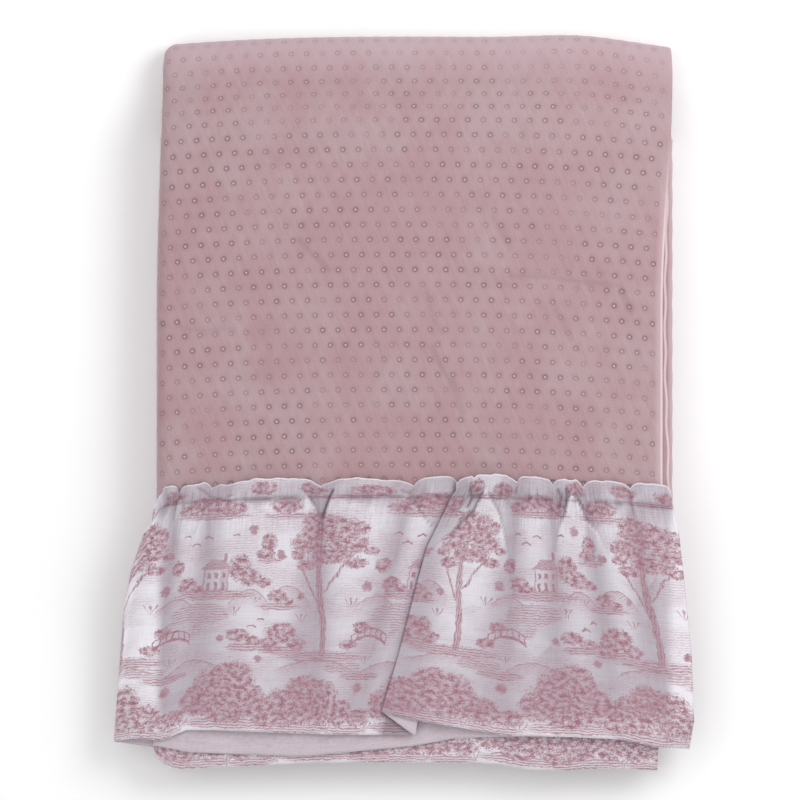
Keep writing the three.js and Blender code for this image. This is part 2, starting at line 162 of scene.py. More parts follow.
# Long creases of the upper face: points, depth and half width
CREASES = [
    ([(-122, 189), (-106, 170), (-87, 154)], 0.8, 4),
    ([(25, 128), (33, 97), (43, 81)], 0.7, 3.5),
    ([(31, 64), (43, 41), (59, 13)], 0.9, 4),
    ([(55, 26), (67, -13)], 0.7, 3.5),
    ([(36, 11), (42, -30)], 0.5, 3.5),
    ([(123, 147), (162, 146), (186, 143), (215, 139), (250, 136)], 0.7, 3.5),
    ([(252, 130), (264, 105)], 0.9, 4),
    ([(121, 100), (129, 80)], 0.5, 3.5),
    ([(176, 108), (194, 72)], 0.6, 3.5),
    ([(103, 216), (123, 178)], 0.7, 4),
    ([(-284, 90), (-240, 84), (-200, 85)], 0.5, 4),
]

# Ruffle strip and its heading, which stands above the gather line and dips at each gather
RUFFLE_THICKNESS = 1.1
RUFFLE_LENGTH = 300
REST = 1.35
HEADING_TOP = -84
HEADING_SHARE = 0.086
HEADING_LIFT = 2.5
NOTCH = 8
PLEAT_LEVEL = 3
PLEAT_DEPTH = (6, 36)
RAISED_REACH = 90
HIDDEN_START = 3
INNER_FOLD = (-272, -290)
RIGHT_FOLD_HEM = 299
TURN_STEPS = 8
SIDE_TURN_STEPS = 16
TURN_FULLNESS = 0.85
TURN_SLANT = 0.8
ROUND = 0.5
SIDE_REACH = [(0, 0.36), (0.03, 0.5), (0.08, 0.6)]
ROLLED_CLOTH = 1.7
EDGE_CALM = 12
TOP_STEP = 1.8
BACK_STEPS = 8
NEAR = 0.14
NEAR_STEPS = 9
HIDDEN_STEP_SHARES = 30
ROWS_TO_FOLDS = 22
ROWS_TO_HEM = 64
FOLDS_FROM = 0.165
SINKS = (134, 290)
DROOP_FROM = -352
DROOP_LENGTH = 50
DROOP = 5
SIDE_DROOP_FROM = -291.5
SIDE_DROOP_LENGTH = 48
SIDE_DROOP = 14
SIDE_DROOP_POWER = 1.6

# Lines where the ruffle's gathers meet: x at its heading and at its hem, how high the cloth arches
# between a line and the next one to its right, and what the arch gains toward the hem
GATHERS = np.array([
    (-290, -338, 5, 2), (-262, -300, 6, 2), (-224, -254, 10, 4), (-97, -112, 8, 3), (11, -62, 5, 2),
    (57, -25, 8, 4), (131, 110, 6, 3), (173, 175, 5, 3), (208, 245, 6, 3), (263, 300, 4, 2),
])
HEADS, HEMS, RISES, FALLS = GATHERS.T
EVEN_AT = 0.6
CLOTH_END = 326.0
PLEAT = 5

# Rise and fall of the heading's edge, beside its notches, as (x, y) rows
HEADING_EDGE = [
    (-290, -3), (-250, -4.4), (-222, -1.5), (-203, -5.8), (-186, -3.6), (-172, -1.3), (-121, -2.5),
    (-90, -5), (-57, -3), (-21, -5.9), (2, -6), (30, -3.1), (71, -1), (79, -1.2), (81, -3.5), (84, 0.4),
    (106, 1.7), (152, 0), (193, -1.8), (234, -0.8), (284, 0.7),
]

# Sharp folds below the gather line: the line from top to bottom, its higher side (1 is the photo's
# right, -1 its left), how high the cloth stands at its two ends, and the reach over which it falls back
LEDGES = [
    ([(95, -98), (81, -126), (62, -146), (50, -156)], 1, (7.5, 3), 24),
    ([(95, -100), (110, -128), (116, -150), (121, -180), (124, -235)], -1, (7, 0), 20),
    ([(194, -103), (187, -129), (181, -143), (172, -190)], 1, (7, 0), 20),
    ([(196, -103), (212, -136), (226, -152), (243, -190)], -1, (7, 0), 20),
    ([(-191, -106), (-220, -114), (-232, -124), (-238, -138), (-246, -157), (-256, -195)], 1, (4, 0), 26),
    ([(-116, -103), (-104, -121), (-98, -135), (-102, -152), (-108, -200)], -1, (7, 0), 20),
    ([(-83, -102), (-91, -125), (-95, -145), (-97, -190)], 1, (6, 0), 22),
    ([(2, -104), (14, -122), (25, -137), (34, -146)], -1, (4, 1.5), 18),
    ([(-262, -108), (-268, -130), (-278, -170)], 1, (4.5, 0), 14),
    ([(-262, -108), (-258, -124), (-254, -146)], -1, (3, 0), 10),
    ([(262, -106), (268, -130), (272, -160)], 1, (3, 0), 14),
    ([(294, -204), (281, -222), (268, -241)], -1, (2.2, 0), 16),
    ([(173, -283), (158, -295), (143, -307)], -1, (1.8, 0), 12),
    ([(308, -374), (333, -401)], -1, (2.6, 2.6), 9),
]
LEDGE_RAMP = 1.1
LEDGE_STARTS = (0, 0.12)
LEDGE_ENDS = (1, 0.75)

# Where the dark panel shows through the ruffle, which it does less where the cloth is lifted off it
BACKED_LEFT = (LEFT_EDGE - 6, LEFT_EDGE + 8)
BACKED_RIGHT = (FOLD_EDGE + 6, FOLD_EDGE - 8)
BACKED_NEAR = (NEAR_END - 8, NEAR_END + 20)
LIFTED = (1.5, 9)
LIFTED_SHARE = 0.75

# Small unevenness of the ruffle: heights, and sizes along and down the cloth
PUCKER = 1.6
PUCKER_REACH = 12
PUCKER_SIZE = (4.5, 1)
SOFT_FOLD = 1.3
SOFT_SIZE = (24, 1)
FINE_FOLD = 0.12
FINE_SIZE = (8, 13)
CRUMPLE = 1.2
CRUMPLE_SIZE = (4.2, 17)
CRUMPLE_SLANT = 0.3
HEADING_WAVE = 0.9
HEADING_SIZE = (7, 9)

# Shade beside the sharp folds, at the stitches and under the pleat, as shares of full shade
FOLD_SHADE = 0.75
SHADE_REACH = 20
SHADE_LINE = 1.7
SHADE_LINE_SHARE = 0.55
SHADE_STARTS = (0, 0.08)
SHADE_ENDS = (1, 0.85)
SHADE_FULL = 7
STITCH_SHADE = 0.3
STITCH_REACH = 2.2
STITCH_SIZE = (6, 9)
PLEAT_SHADE = 0.55
PLEAT_SHADE_REACH = 5

# Painted shade in deep slits between folds at the gather line: the line, its half width and how dark the
# painted shade is
SLITS = [
    ([(77, -101), (79, -111), (74, -121)], 2.4, 0.8),
    ([(179, -101), (183, -110), (181, -121)], 1.8, 0.8),
    ([(189, -100), (190, -112), (188, -122)], 1.7, 0.9),
    ([(203, -112), (209, -124)], 1.5, 0.8),
    ([(-83, -101), (-89, -116), (-95, -133)], 2.0, 0.9),
    ([(-264, -97), (-261, -108), (-265, -118)], 1.5, 0.6),
    ([(-241, -99), (-226, -107), (-214, -112)], 1.6, 0.5),
    ([(6, -99), (14, -118), (27, -137), (33, -144)], 1.5, 0.4),
    ([(84, -120), (64, -143), (53, -153)], 1.4, 0.5),
    ([(-3, -101), (5, -103), (11, -98)], 1.4, 0.5),
    ([(58, -97), (55, -112)], 1.4, 0.5),
    ([(131, -95), (130, -103)], 1.6, 0.6),
    ([(262, -98), (266, -112)], 1.4, 0.5),
]

# The ruffle's side edges and its pleat as (y, x) rows, and its hems as (x, y) rows
RUFFLE_LEFT = [
    (-396, -338), (-328, -334), (-225, -327), (-178, -319), (-137, -306), (-118, -293.5), (-95, -292),
]
RUFFLE_RIGHT = [
    (-403, 332), (-370, 338), (-287, 334.5), (-214, 327), (-152, 320), (-128, 314), (-103, 311),
]
PLEAT_FOLD = [(-361, -25), (-294, -6), (-201, 18), (-165, 28), (-132, 45), (-98, 62)]
LEFT_HEM = [
    (-338, -395.5), (-318, -392), (-283, -394), (-254, -382), (-222, -382), (-92, -387), (12, -388),
]
RIGHT_HEM = [
    (-25, -361), (11, -370), (70, -380), (118, -388.5), (192, -390), (254, -393), (298, -402.5), (338, -404),
]
REVERSE_HEM = [(-292, -400), (-250, -408), (-117, -413), (14, -400), (63, -391), (311, -386)]
PRINTED_HEM = [
    (-292, -412), (-280, -422), (-262, -428), (-190, -424), (-92, -420), (60, -420), (116, -422), (138, -428),
    (182, -430), (220, -427), (299, -429),
]
LOWEST_RUFFLE_HEM = [(-338, -395.5), (-280, -404), (0, -408), (299, -429)]

# Share of the gathers' height that is left at a share of the way down the ruffle
GATHER_DOWN = [
    (0, 0.7), (0.045, 0.55), (0.075, 0.4), (0.086, 0.12), (0.1, 0.5), (0.125, 0.85), (0.165, 1),
    (0.21, 1), (0.27, 0.95), (0.36, 0.8), (0.48, 0.6), (0.62, 0.4), (0.76, 0.2), (0.89, 0.1), (1, 0),
]

# Level of each ruffle layer, from the lowest to the top one: at the panel's hem and where it lies
LEVELS = [
    (2 * PASS + 1.2, 2 * PASS + 1),
    (2 * PASS + 11.8, 2 * PASS + 4.5),
    (2 * PASS + 15.2, 2 * PASS + 8),
    (STACK + REST, 2 * PASS + 12),
]


def mix(a, b, share):
    return a + (b - a) * share


def shares_of(steps):
    return np.linspace(0, 1, steps + 1)


def smooth(start, end, value):
    share = np.clip((value - start) / (end - start), 0, 1)
    return share * share * (3 - 2 * share)


def curve(rows, along):
    """Reads a curve given as a short table of (along, value) rows."""
    places, values = zip(*rows)
    return np.interp(along, places, values)


def arch(x):
    return ARCH * np.abs(np.asarray(x) / HALF_WIDTH) ** ARCH_POWER


def soft_height(x, y, z):
    crown = CROWN * np.abs(x / HALF_WIDTH) ** CROWN_POWER
    level = np.sin(x / WAVE_ACROSS + WAVE_START) * np.cos(y / WAVE_ALONG)
    slanted = SLANTED_SHARE * np.sin((x + y) / WAVE_SLANTED)
    return z * (1 - crown + UNEVEN * (level + slanted))


def drifts(x, y, size, seed):
    """Soft random heights, from -1 to 1, whose hills are about size apart in x and in y."""
    grid = np.random.default_rng(seed).uniform(-1, 1, (GRID, GRID))
    u, v = np.asarray(x) / size[0], np.asarray(y) / size[1]
    i, j = np.floor(u).astype(int), np.floor(v).astype(int)
    across, up = smooth(0, 1, u - i), smooth(0, 1, v - j)
    left, right = i % GRID, (i + 1) % GRID
    near, far = (mix(grid[left, row % GRID], grid[right, row % GRID], across) for row in (j, j + 1))
    return mix(near, far, up)


def beside_line(x, y, points):
    """Distance to a line, signed: positive to the right of it as it is read, and the share along it."""
    nearest, signed = np.full(np.shape(x), np.inf), np.zeros(np.shape(x))
    along = np.zeros(np.shape(x))
    for step, ((ax, ay), (bx, by)) in enumerate(zip(points, points[1:])):
        dx, dy = bx - ax, by - ay
        share = np.clip(((x - ax) * dx + (y - ay) * dy) / (dx * dx + dy * dy), 0, 1)
        away = np.hypot(x - ax - share * dx, y - ay - share * dy)
        side = np.sign((y - ay) * dx - (x - ax) * dy)
        closer = away < nearest
        nearest = np.where(closer, away, nearest)
        signed = np.where(closer, -side * away, signed)
        along = np.where(closer, (step + share) / (len(points) - 1), along)
    return signed, along


def distance_to_line(x, y, points):
    return np.abs(beside_line(x, y, points)[0])


def zipped(first, second):
    """Triangles between two rows of (id, at) that run the same way; first comes before second."""
    faces = []
    i = j = 0
    while i < len(first) - 1 or j < len(second) - 1:
        ahead = first[i + 1][1] if i < len(first) - 1 else math.inf
        beside = second[j + 1][1] if j < len(second) - 1 else math.inf
        if ahead <= beside:
            faces.append((first[i][0], first[i + 1][0], second[j][0]))
            i += 1
        else:
            faces.append((first[i][0], second[j + 1][0], second[j][0]))
            j += 1
    return faces


def quads(ids):
    """Faces of a grid of ids whose rows run up and whose columns run right, seen from its front."""
    corners = [ids[:-1, :-1], ids[:-1, 1:], ids[1:, 1:], ids[1:, :-1]]
    return np.stack(corners, -1).reshape(-1, 4).tolist()


def normals_of(points, faces):
    found = np.zeros_like(points)
    for size in (3, 4):
        group = np.array([face for face in faces if len(face) == size], dtype=int)
        if not len(group):
            continue
        corners = points[group]
        normal = np.cross(corners[:, 2] - corners[:, 0], corners[:, -1] - corners[:, 1])
        for corner in range(size):
            np.add.at(found, group[:, corner], normal)
    return found / np.maximum(np.linalg.norm(found, axis=1, keepdims=True), 1e-9)


def add_object(name, data):
    thing = bpy.data.objects.new(name, data)
    bpy.context.scene.collection.objects.link(thing)
    return thing


def make_piece(name, points, faces, material, **attributes):
    mesh = bpy.data.meshes.new(name)
    placed = (points + [PLACED[0], PLACED[1], 0]) * MM
    mesh.from_pydata(placed.tolist(), [], faces)
    mesh.polygons.foreach_set("use_smooth", [True] * len(mesh.polygons))
    for attribute, values in attributes.items():
        layer = mesh.attributes.new(attribute, "FLOAT_VECTOR", "POINT")
        layer.data.foreach_set("vector", values.astype(np.float32).ravel())
    mesh.materials.append(material)
    return add_object(name, mesh)


# Finishes
CLOTH_SPECULAR = 0.2


def shade(red, green, blue):
    """A colour as seen on screen, from 0 to 255, turned into the light that it reflects."""
    parts = [value / 255 for value in (red, green, blue)]
    return (*[v / 12.92 if v < 0.04045 else ((v + 0.055) / 1.055) ** 2.4 for v in parts], 1)


def math_node(operation, swapped=False):
    """A method that puts a Math node behind its own value and the values given to it."""
    def method(wire, *others):
        values = (*others, wire) if swapped else (wire, *others)
        return wire.finish.node("Math", {"operation": operation}, dict(enumerate(values)))
    return method


class Wire:
    """A value from a node's socket; arithmetic on it adds the Math nodes."""

    def __init__(self, finish, socket):
        self.finish = finish
        self.socket = socket

    __add__ = __radd__ = math_node("ADD")
    __sub__ = math_node("SUBTRACT")
    __rsub__ = math_node("SUBTRACT", swapped=True)
    __mul__ = __rmul__ = math_node("MULTIPLY")
    __truediv__ = math_node("DIVIDE")
    __abs__ = math_node("ABSOLUTE")
    low = math_node("MINIMUM")
    high = math_node("MAXIMUM")
    rounded = math_node("ROUND")
    floored = math_node("FLOOR")
    wave = math_node("SINE")

    def strokes(self):
        """A wave that runs from 0 to 1."""
        return self.wave() * 0.5 + 0.5

    def from_nearest(self, pitch):
        """Distance to the nearest whole number of pitches."""
        return abs(self - (self * (1 / pitch)).rounded() * pitch)

    def step(self, start, end):
        """0 before start and 1 after end, with a soft rise; start may be the larger one."""
        values = {"Value": self, "From Min": start, "From Max": end}
        return self.finish.node("MapRange", {"interpolation_type": "SMOOTHSTEP"}, values)


class Finish:
    """A material whose nodes are made one by one."""

    def __init__(self, name, roughness, sheen=0, sheen_roughness=0.5, sheen_tint=(1, 1, 1, 1)):
        self.material = bpy.data.materials.new(name)
        self.material.use_nodes = True
        self.tree = self.material.node_tree
        self.shader = self.tree.nodes["Principled BSDF"]
        looks = {"Roughness": roughness, "Specular IOR Level": CLOTH_SPECULAR, "Sheen Weight": sheen}
        looks.update({"Sheen Roughness": sheen_roughness, "Sheen Tint": sheen_tint})
        for look, value in looks.items():
            self.shader.inputs[look].default_value = value

    def node(self, kind, settings=None, values=None, output=0):
        node = self.tree.nodes.new("ShaderNode" + kind)
        for key, value in (settings or {}).items():
            setattr(node, key, value)
        for key, value in (values or {}).items():
            if isinstance(value, Wire):
                self.tree.links.new(value.socket, node.inputs[key])
            else:
                node.inputs[key].default_value = value
        return Wire(self, node.outputs[output])

    def attribute(self, name):
        """The three numbers of an attribute of the mesh."""
        vector = self.node("Attribute", {"attribute_name": name}, output=1)
        return [self.node("SeparateXYZ", {}, {0: vector}, part) for part in range(3)]

    def joined(self, x, y, z=0.0):
        return self.node("CombineXYZ", {}, {0: x, 1: y, 2: z})

    def vector_math(self, operation, values, output=0):
        return self.node("VectorMath", {"operation": operation}, values, output)

    def noise(self, vector, scale, detail=2, roughness=0.5):
        settings = {"noise_dimensions": "3D"}
        values = {"Vector": vector, "Scale": scale, "Detail": detail, "Roughness": roughness}
        return self.node("TexNoise", settings, values)

    def grain(self, x, y, pattern, detail=2, roughness=0.5):
        """Noise at a place of the cloth; its pattern is a scale across, a scale along and a seed."""
        across, up, seed = pattern
        return self.noise(self.joined(x * across, y * up, seed), 1, detail, roughness)

    def length(self, vector):
        return self.vector_math("LENGTH", {0: vector}, 1)

    def blend(self, share, first, second):
        return self.node("Mix", {"data_type": "RGBA"}, {0: share, 6: first, 7: second}, 2)

    def lit(self, colour, amount):
        return self.vector_math("SCALE", {0: colour, "Scale": amount})

    def colour(self, colour):
        self.tree.links.new(colour.socket, self.shader.inputs["Base Color"])

    def relief(self, height):
        """Height in millimetres."""
        bump = self.node("Bump", {}, {"Strength": 1.0, "Distance": MM, "Height": height})
        self.tree.links.new(bump.socket, self.shader.inputs["Normal"])


VELVET_PINK = shade(170, 139, 144)
VELVET_GREY = shade(173, 149, 153)
VELVET_DEEP = shade(163, 127, 132)
# Painted highlight for the bright edges of the hems and of the fold
VELVET_PAINTED_HIGHLIGHT = shade(226, 206, 210)
# Painted sheen for the rounding of the far fold
VELVET_PAINTED_FAR_SHEEN = shade(192, 170, 178)
DOT_RING = shade(118, 88, 91)
DOT_CENTRE = shade(196, 171, 175)
VELVET_SHEEN = (1, 0.9, 0.91, 1)

# Patterns of the pile: scale across, scale along and seed
REGION = (0.012, 0.016, 7.0)
NAP = (0.016, 0.012, 1.5)
DRAG_LINES = (0.22, 0.035, 4.0)
FINE_DRAG_LINES = (0.5, 0.05, 14.0)
PILE = (0.6, 0.5, 9.0)
DEEP_PATCHES = (0.013, 0.02, 12.0)

# Distances from a dot's middle between which each part of its look starts or ends
RING_INNER = (1.3, 2.0)
RING_OUTER = (2.4, 3.4)
CENTRE_EDGE = (1.9, 0.8)
HALO_EDGE = (8.5, 2.5)
PRESSED_EDGE = (4.4, 2.6)
RISEN_EDGE = (2.2, 1.2)

# Columns of the quilting where its dots end and where the painted edge highlight goes, and its far rows,
# where the dots fade and a painted sheen lies
DOTS_END_AT_HEM = (63.5, 63.2)
DOTS_END_BELOW = (-68.4, -67.5)
HEM_COLUMN = 64.0
NEXT_HEM_COLUMN = -200.1
FOLD_COLUMN = -70.5
MIDDLE_COLUMN = 27
FAR_DOTS = (27, 31)
FAR_ROWS = (28.5, 33)


def velvet():
    """Dusty velvet with pressed ring dots, slanted drag lines and patches where the nap turns; painted shade
    lies in its creases, a painted highlight on its hem edges and a painted sheen on its far fold.
    """
    finish = Finish("dusty_velvet", 0.85, 0.35, 0.35, VELVET_SHEEN)
    column, row, crease_painted_shade = finish.attribute("cloth")
    x, y = column * CELL, row * ROW_PITCH
    a, b = (column + row) * 0.5, (column - row) * 0.5
    near_a, near_b = a - a.rounded(), b - b.rounded()
    from_dot = finish.length(finish.joined((near_a + near_b) * CELL, (near_a - near_b) * ROW_PITCH))
    own = finish.node("TexWhiteNoise", {"noise_dimensions": "3D"}, {
        "Vector": finish.joined(a.rounded(), b.rounded(), 3.0),
    })
    dotted = column.step(*DOTS_END_AT_HEM) * column.step(*DOTS_END_BELOW)
    strength = (finish.grain(x, y, REGION) * 2.6 + own * 0.45 - 1.05).step(0.0, 1.0) * 0.72 + 0.28
    strength = strength * (1 - row.step(*FAR_DOTS) * 0.55) * dotted
    ring = (from_dot.step(*RING_INNER) - from_dot.step(*RING_OUTER)) * strength
    centre = from_dot.step(*CENTRE_EDGE) * strength
    halo = from_dot.step(*HALO_EDGE) * strength

    nap = finish.grain(x, y, NAP, 3, 0.6)
    drag = finish.grain(x + y * 0.42, y, DRAG_LINES, 3)
    fine_drag = finish.grain(x + y * 0.3, y, FINE_DRAG_LINES)
    pile = finish.grain(x, y, PILE, 2, 0.7)
    outer = abs(column - MIDDLE_COLUMN).step(14, 44) * 0.5 + row.step(16, 34) * 0.5
    colour = finish.blend((nap - outer * 0.16).step(0.26, 0.62), VELVET_GREY, VELVET_PINK)
    deep_tone_and_painted_shade = finish.grain(x, y, DEEP_PATCHES).step(0.5, 0.75)
    colour = finish.blend(deep_tone_and_painted_shade * 0.28, colour, VELVET_DEEP)
    light = 1 + (drag - 0.5) * 0.18 + (fine_drag - 0.5) * 0.12 + (pile - 0.5) * 0.2 - halo * 0.06
    # Painted shade darkens the pile along the creases
    colour = finish.lit(colour, light - crease_painted_shade * 0.16)
    # Painted sheen on the rounding of the far fold, over its last rows
    colour = finish.blend(row.step(*FAR_ROWS) * 0.7, colour, VELVET_PAINTED_FAR_SHEEN)

    # Painted highlight on the bright edges: the upper hem, the hem below it and the fold at the bottom
    painted_edge_highlight = column.step(HEM_COLUMN - 0.9, HEM_COLUMN) * 0.3 + column.step(HEM_COLUMN, HEM_COLUMN + 0.06) * 0.7
    painted_edge_highlight = painted_edge_highlight * column.step(66, 65) * row.step(27, 18)
    painted_edge_highlight = painted_edge_highlight.high(abs(column - NEXT_HEM_COLUMN).step(0.12, 0.03) * 0.8)
    painted_edge_highlight = painted_edge_highlight.high(abs(column - FOLD_COLUMN).step(0.6, 0.2) * 0.25)
    colour = finish.blend(painted_edge_highlight * (0.6 + pile * 0.4), colour, VELVET_PAINTED_HIGHLIGHT)
    colour = finish.blend(ring * 0.72, colour, DOT_RING)
    finish.colour(finish.blend(centre * 0.7, colour, DOT_CENTRE))
    pressed = (from_dot.step(*PRESSED_EDGE) - from_dot.step(*RISEN_EDGE) * 0.7) * dotted
    finish.relief(drag * 0.6 + fine_drag * 0.25 + pile * 0.25 - pressed * (0.25 + strength * 0.4))
    return finish.material


CLOTH_WHITE = shade(226, 222, 229)
CLOTH_OVER_PANEL = shade(177, 169, 178)
REVERSE_GREY = shade(203, 192, 200)
CLOTH_EDGE = shade(226, 222, 228)
# Painted shade of the slits, the sharp folds, the stitches and the pleat
SLIT_SHADE = shade(96, 66, 78)
ROSE_INK = shade(137, 87, 101)
PALE_INK = shade(180, 143, 154)

# Patterns of the weave and of the gathers' small folds, whose bumps also set painted light and shade: scale
# along, scale down and seed
WEFT = (0.025, 0.6, 2.0)
WARP = (0.6, 0.025, 5.0)
SLUB = (0.05, 0.45, 8.0)
SMALL_FOLDS = (0.3, 0.022, 61.0)


def printed_cloth():
    """Thin slub cloth, off-white, with a print in one rose colour on its right side; painted shade lies in
    its slits, beside its sharp folds, at its stitches and under its pleat.
    """
    finish = Finish("printed_slub_cloth", 0.9, 0.1)
    along, down, front = finish.attribute("cloth")
    backing, deep_tone_and_painted_shade, _ = finish.attribute("backing")
    weft = finish.grain(along, down, WEFT, 3, 0.75)
    warp = finish.grain(along, down, WARP, 3, 0.75)
    slub = finish.grain(along, down, SLUB).step(0.62, 0.78)
    colour = finish.blend(backing, CLOTH_WHITE, CLOTH_OVER_PANEL)
    colour = finish.blend(1 - front, colour, REVERSE_GREY)
    edge = down.step(2.2, 0.8)
    colour = finish.blend(edge * 0.8, colour, CLOTH_EDGE)
    thread = (weft - 0.5) * 0.34 + (warp - 0.5) * 0.26
    # Small folds of the gathers: bumps, with painted light and shade in the colour near the stitches
    fold_bumps_and_painted_shading = finish.grain(along, down, SMALL_FOLDS, 3, 0.6) - 0.5
    fold_bumps_and_painted_shading = fold_bumps_and_painted_shading * (down.step(0, 24) * 0.6 + 0.4) * down.step(95, 22)
    colour = finish.lit(colour, 1 + thread + slub * 0.03 + fold_bumps_and_painted_shading * 0.75)
    ink, depth = toile(finish, along, down)
    shown = ink * (0.25 + front * 0.75) * (1 + thread * 2.2) * (1 - edge)
    colour = finish.blend(shown.low(1.0), colour, finish.blend(depth, PALE_INK, ROSE_INK))
    # Painted shade of the slits, the sharp folds, the stitches and the pleat darkens the cloth
    finish.colour(finish.blend(deep_tone_and_painted_shade, colour, SLIT_SHADE))
    finish.relief(weft * 0.35 + warp * 0.3 + slub * 0.15 + fold_bumps_and_painted_shading * 3.0)
    return finish.material


# The ruffle's print: its own scene of trees, shrubs, a cottage, a stream and a footbridge.
# Places are millimetres along and down the cloth, inside one repeat: ovals are given by their middle,
# half width and half height, and boxes by left, top, right and bottom.
REPEAT = 231
WRAP = 6
TREE_LEAVES = [
    (62, 62, 30, 17), (42, 78, 21, 13), (82, 80, 20, 12), (66, 94, 24, 9), (50, 52, 17, 11), (88, 62, 12, 9),
    (40, 104, 12, 7), (92, 102, 12, 6), (30, 92, 9, 6), (104, 88, 8, 5),
]
SHRUBS = [
    (28, 270, 31, 23), (66, 264, 28, 28), (46, 251, 23, 19), (98, 276, 21, 17), (6, 280, 20, 15),
    (186, 248, 36, 28), (212, 263, 22, 22), (158, 264, 22, 19), (196, 231, 21, 15), (228, 273, 20, 17),
    (128, 281, 16, 11), (190, 278, 26, 14), (193, 106, 14, 16), (132, 126, 12, 9), (206, 118, 14, 10),
    (144, 131, 9, 5), (222, 124, 10, 6), (16, 184, 19, 13), (4, 196, 13, 10), (34, 196, 12, 7),
    (108, 176, 10, 7), (96, 196, 11, 6), (150, 30, 28, 10), (178, 36, 18, 9), (14, 34, 20, 10),
    (124, 36, 13, 7), (44, 12, 16, 8), (96, 16, 20, 8), (214, 12, 18, 9), (196, 186, 14, 8),
    (214, 192, 10, 6), (8, 140, 12, 8), (20, 146, 9, 5), (118, 104, 8, 9), (226, 78, 10, 12),
    (222, 90, 12, 7),
]
BANKS = [
    (64, 210, 58, 8), (164, 138, 56, 7), (36, 293, 62, 8), (192, 291, 56, 8), (158, 44, 50, 5),
    (16, 204, 30, 6), (116, 232, 30, 6), (14, 46, 34, 5), (78, 24, 44, 4), (10, 152, 28, 5),
    (206, 200, 26, 6), (226, 98, 18, 4), (112, 295, 34, 6),
]
HILLS = [(206, 132, 26, 20), (118, 140, 22, 12), (20, 128, 26, 20), (60, 214, 46, 12), (150, 216, 34, 14)]
WATER = [(150, 160, 36, 14), (128, 178, 28, 14), (112, 200, 20, 12), (92, 222, 26, 8)]
BIRDS = [(138, 76, 7), (152, 68, 6), (126, 66, 5), (222, 166, 5), (212, 174, 6), (186, 66, 5)]
SPRIGS = [(106, 128, 7), (118, 246, 7), (222, 214, 5), (10, 92, 6), (206, 62, 7), (36, 140, 5), (176, 190, 5)]
TUFTS = [
    (92, 150, 9), (38, 168, 8), (190, 160, 9), (82, 296, 10), (140, 294, 10), (214, 146, 7), (120, 216, 8),
]
TREE = 60
STEM = (-3.6, 84, 3.6, 210)
RIGHT_BOUGH = (-1.6, 92, 1.6, 136)
LEFT_BOUGH = (-1.5, 104, 1.5, 150)
COTTAGE = 165
WALLS = (150, 108, 180, 133)
INNER_WALLS = (151.6, 108, 178.4, 131.6)
SHADED_WALL = (170, 108, 180, 133)
ROOF = (146, 96, 184, 108)
CHIMNEY = (172, 88, 176, 98)
UPPER_WINDOWS = (151, 112, 179, 118)
LOWER_WINDOWS = (151, 123, 179, 133)
WINDOW_PITCH = 9
FOOTBRIDGE = (98, 170, 142, 215)
BRIDGE_MIDDLE = 120
BRIDGE_TOP = 186
POST_PITCH = 7
BOX_EDGE = 0.8

# Patterns of the drawing: scale along, scale down and seed
WOBBLE = (0.12, 0.12, 31.0)
LEAFY = (0.42, 0.42, 17.0)
CLUMPS = (0.16, 0.2, 23.0)
LIGHTS = (0.6, 0.6, 27.0)
HAZE = (0.018, 0.03, 41.0)


def nearest_blob(finish, spot, blobs):
    """How far a spot is from the nearest of some ovals: 0 at a middle and 1 on an edge."""
    wrapped = [(x + REPEAT, *rest) for x, *rest in blobs if x - rest[1] < WRAP]
    wrapped += [(x - REPEAT, *rest) for x, *rest in blobs if x + rest[1] > REPEAT - WRAP]
    away = []
    for x, y, across, up in blobs + wrapped:
        values = {0: spot, 1: (1 / across, 1 / up, 0), 2: (-x / across, -y / up, 0)}
        away.append(finish.length(finish.vector_math("MULTIPLY_ADD", values)))
    return functools.reduce(Wire.low, away)


def inside_box(x, y, box):
    """1 inside a box and 0 outside it."""
    left, top, right, bottom = box
    across = abs(x - (left + right) / 2) - (right - left) / 2
    up = abs(y - (top + bottom) / 2) - (bottom - top) / 2
    return across.high(up).step(BOX_EDGE, -BOX_EDGE)


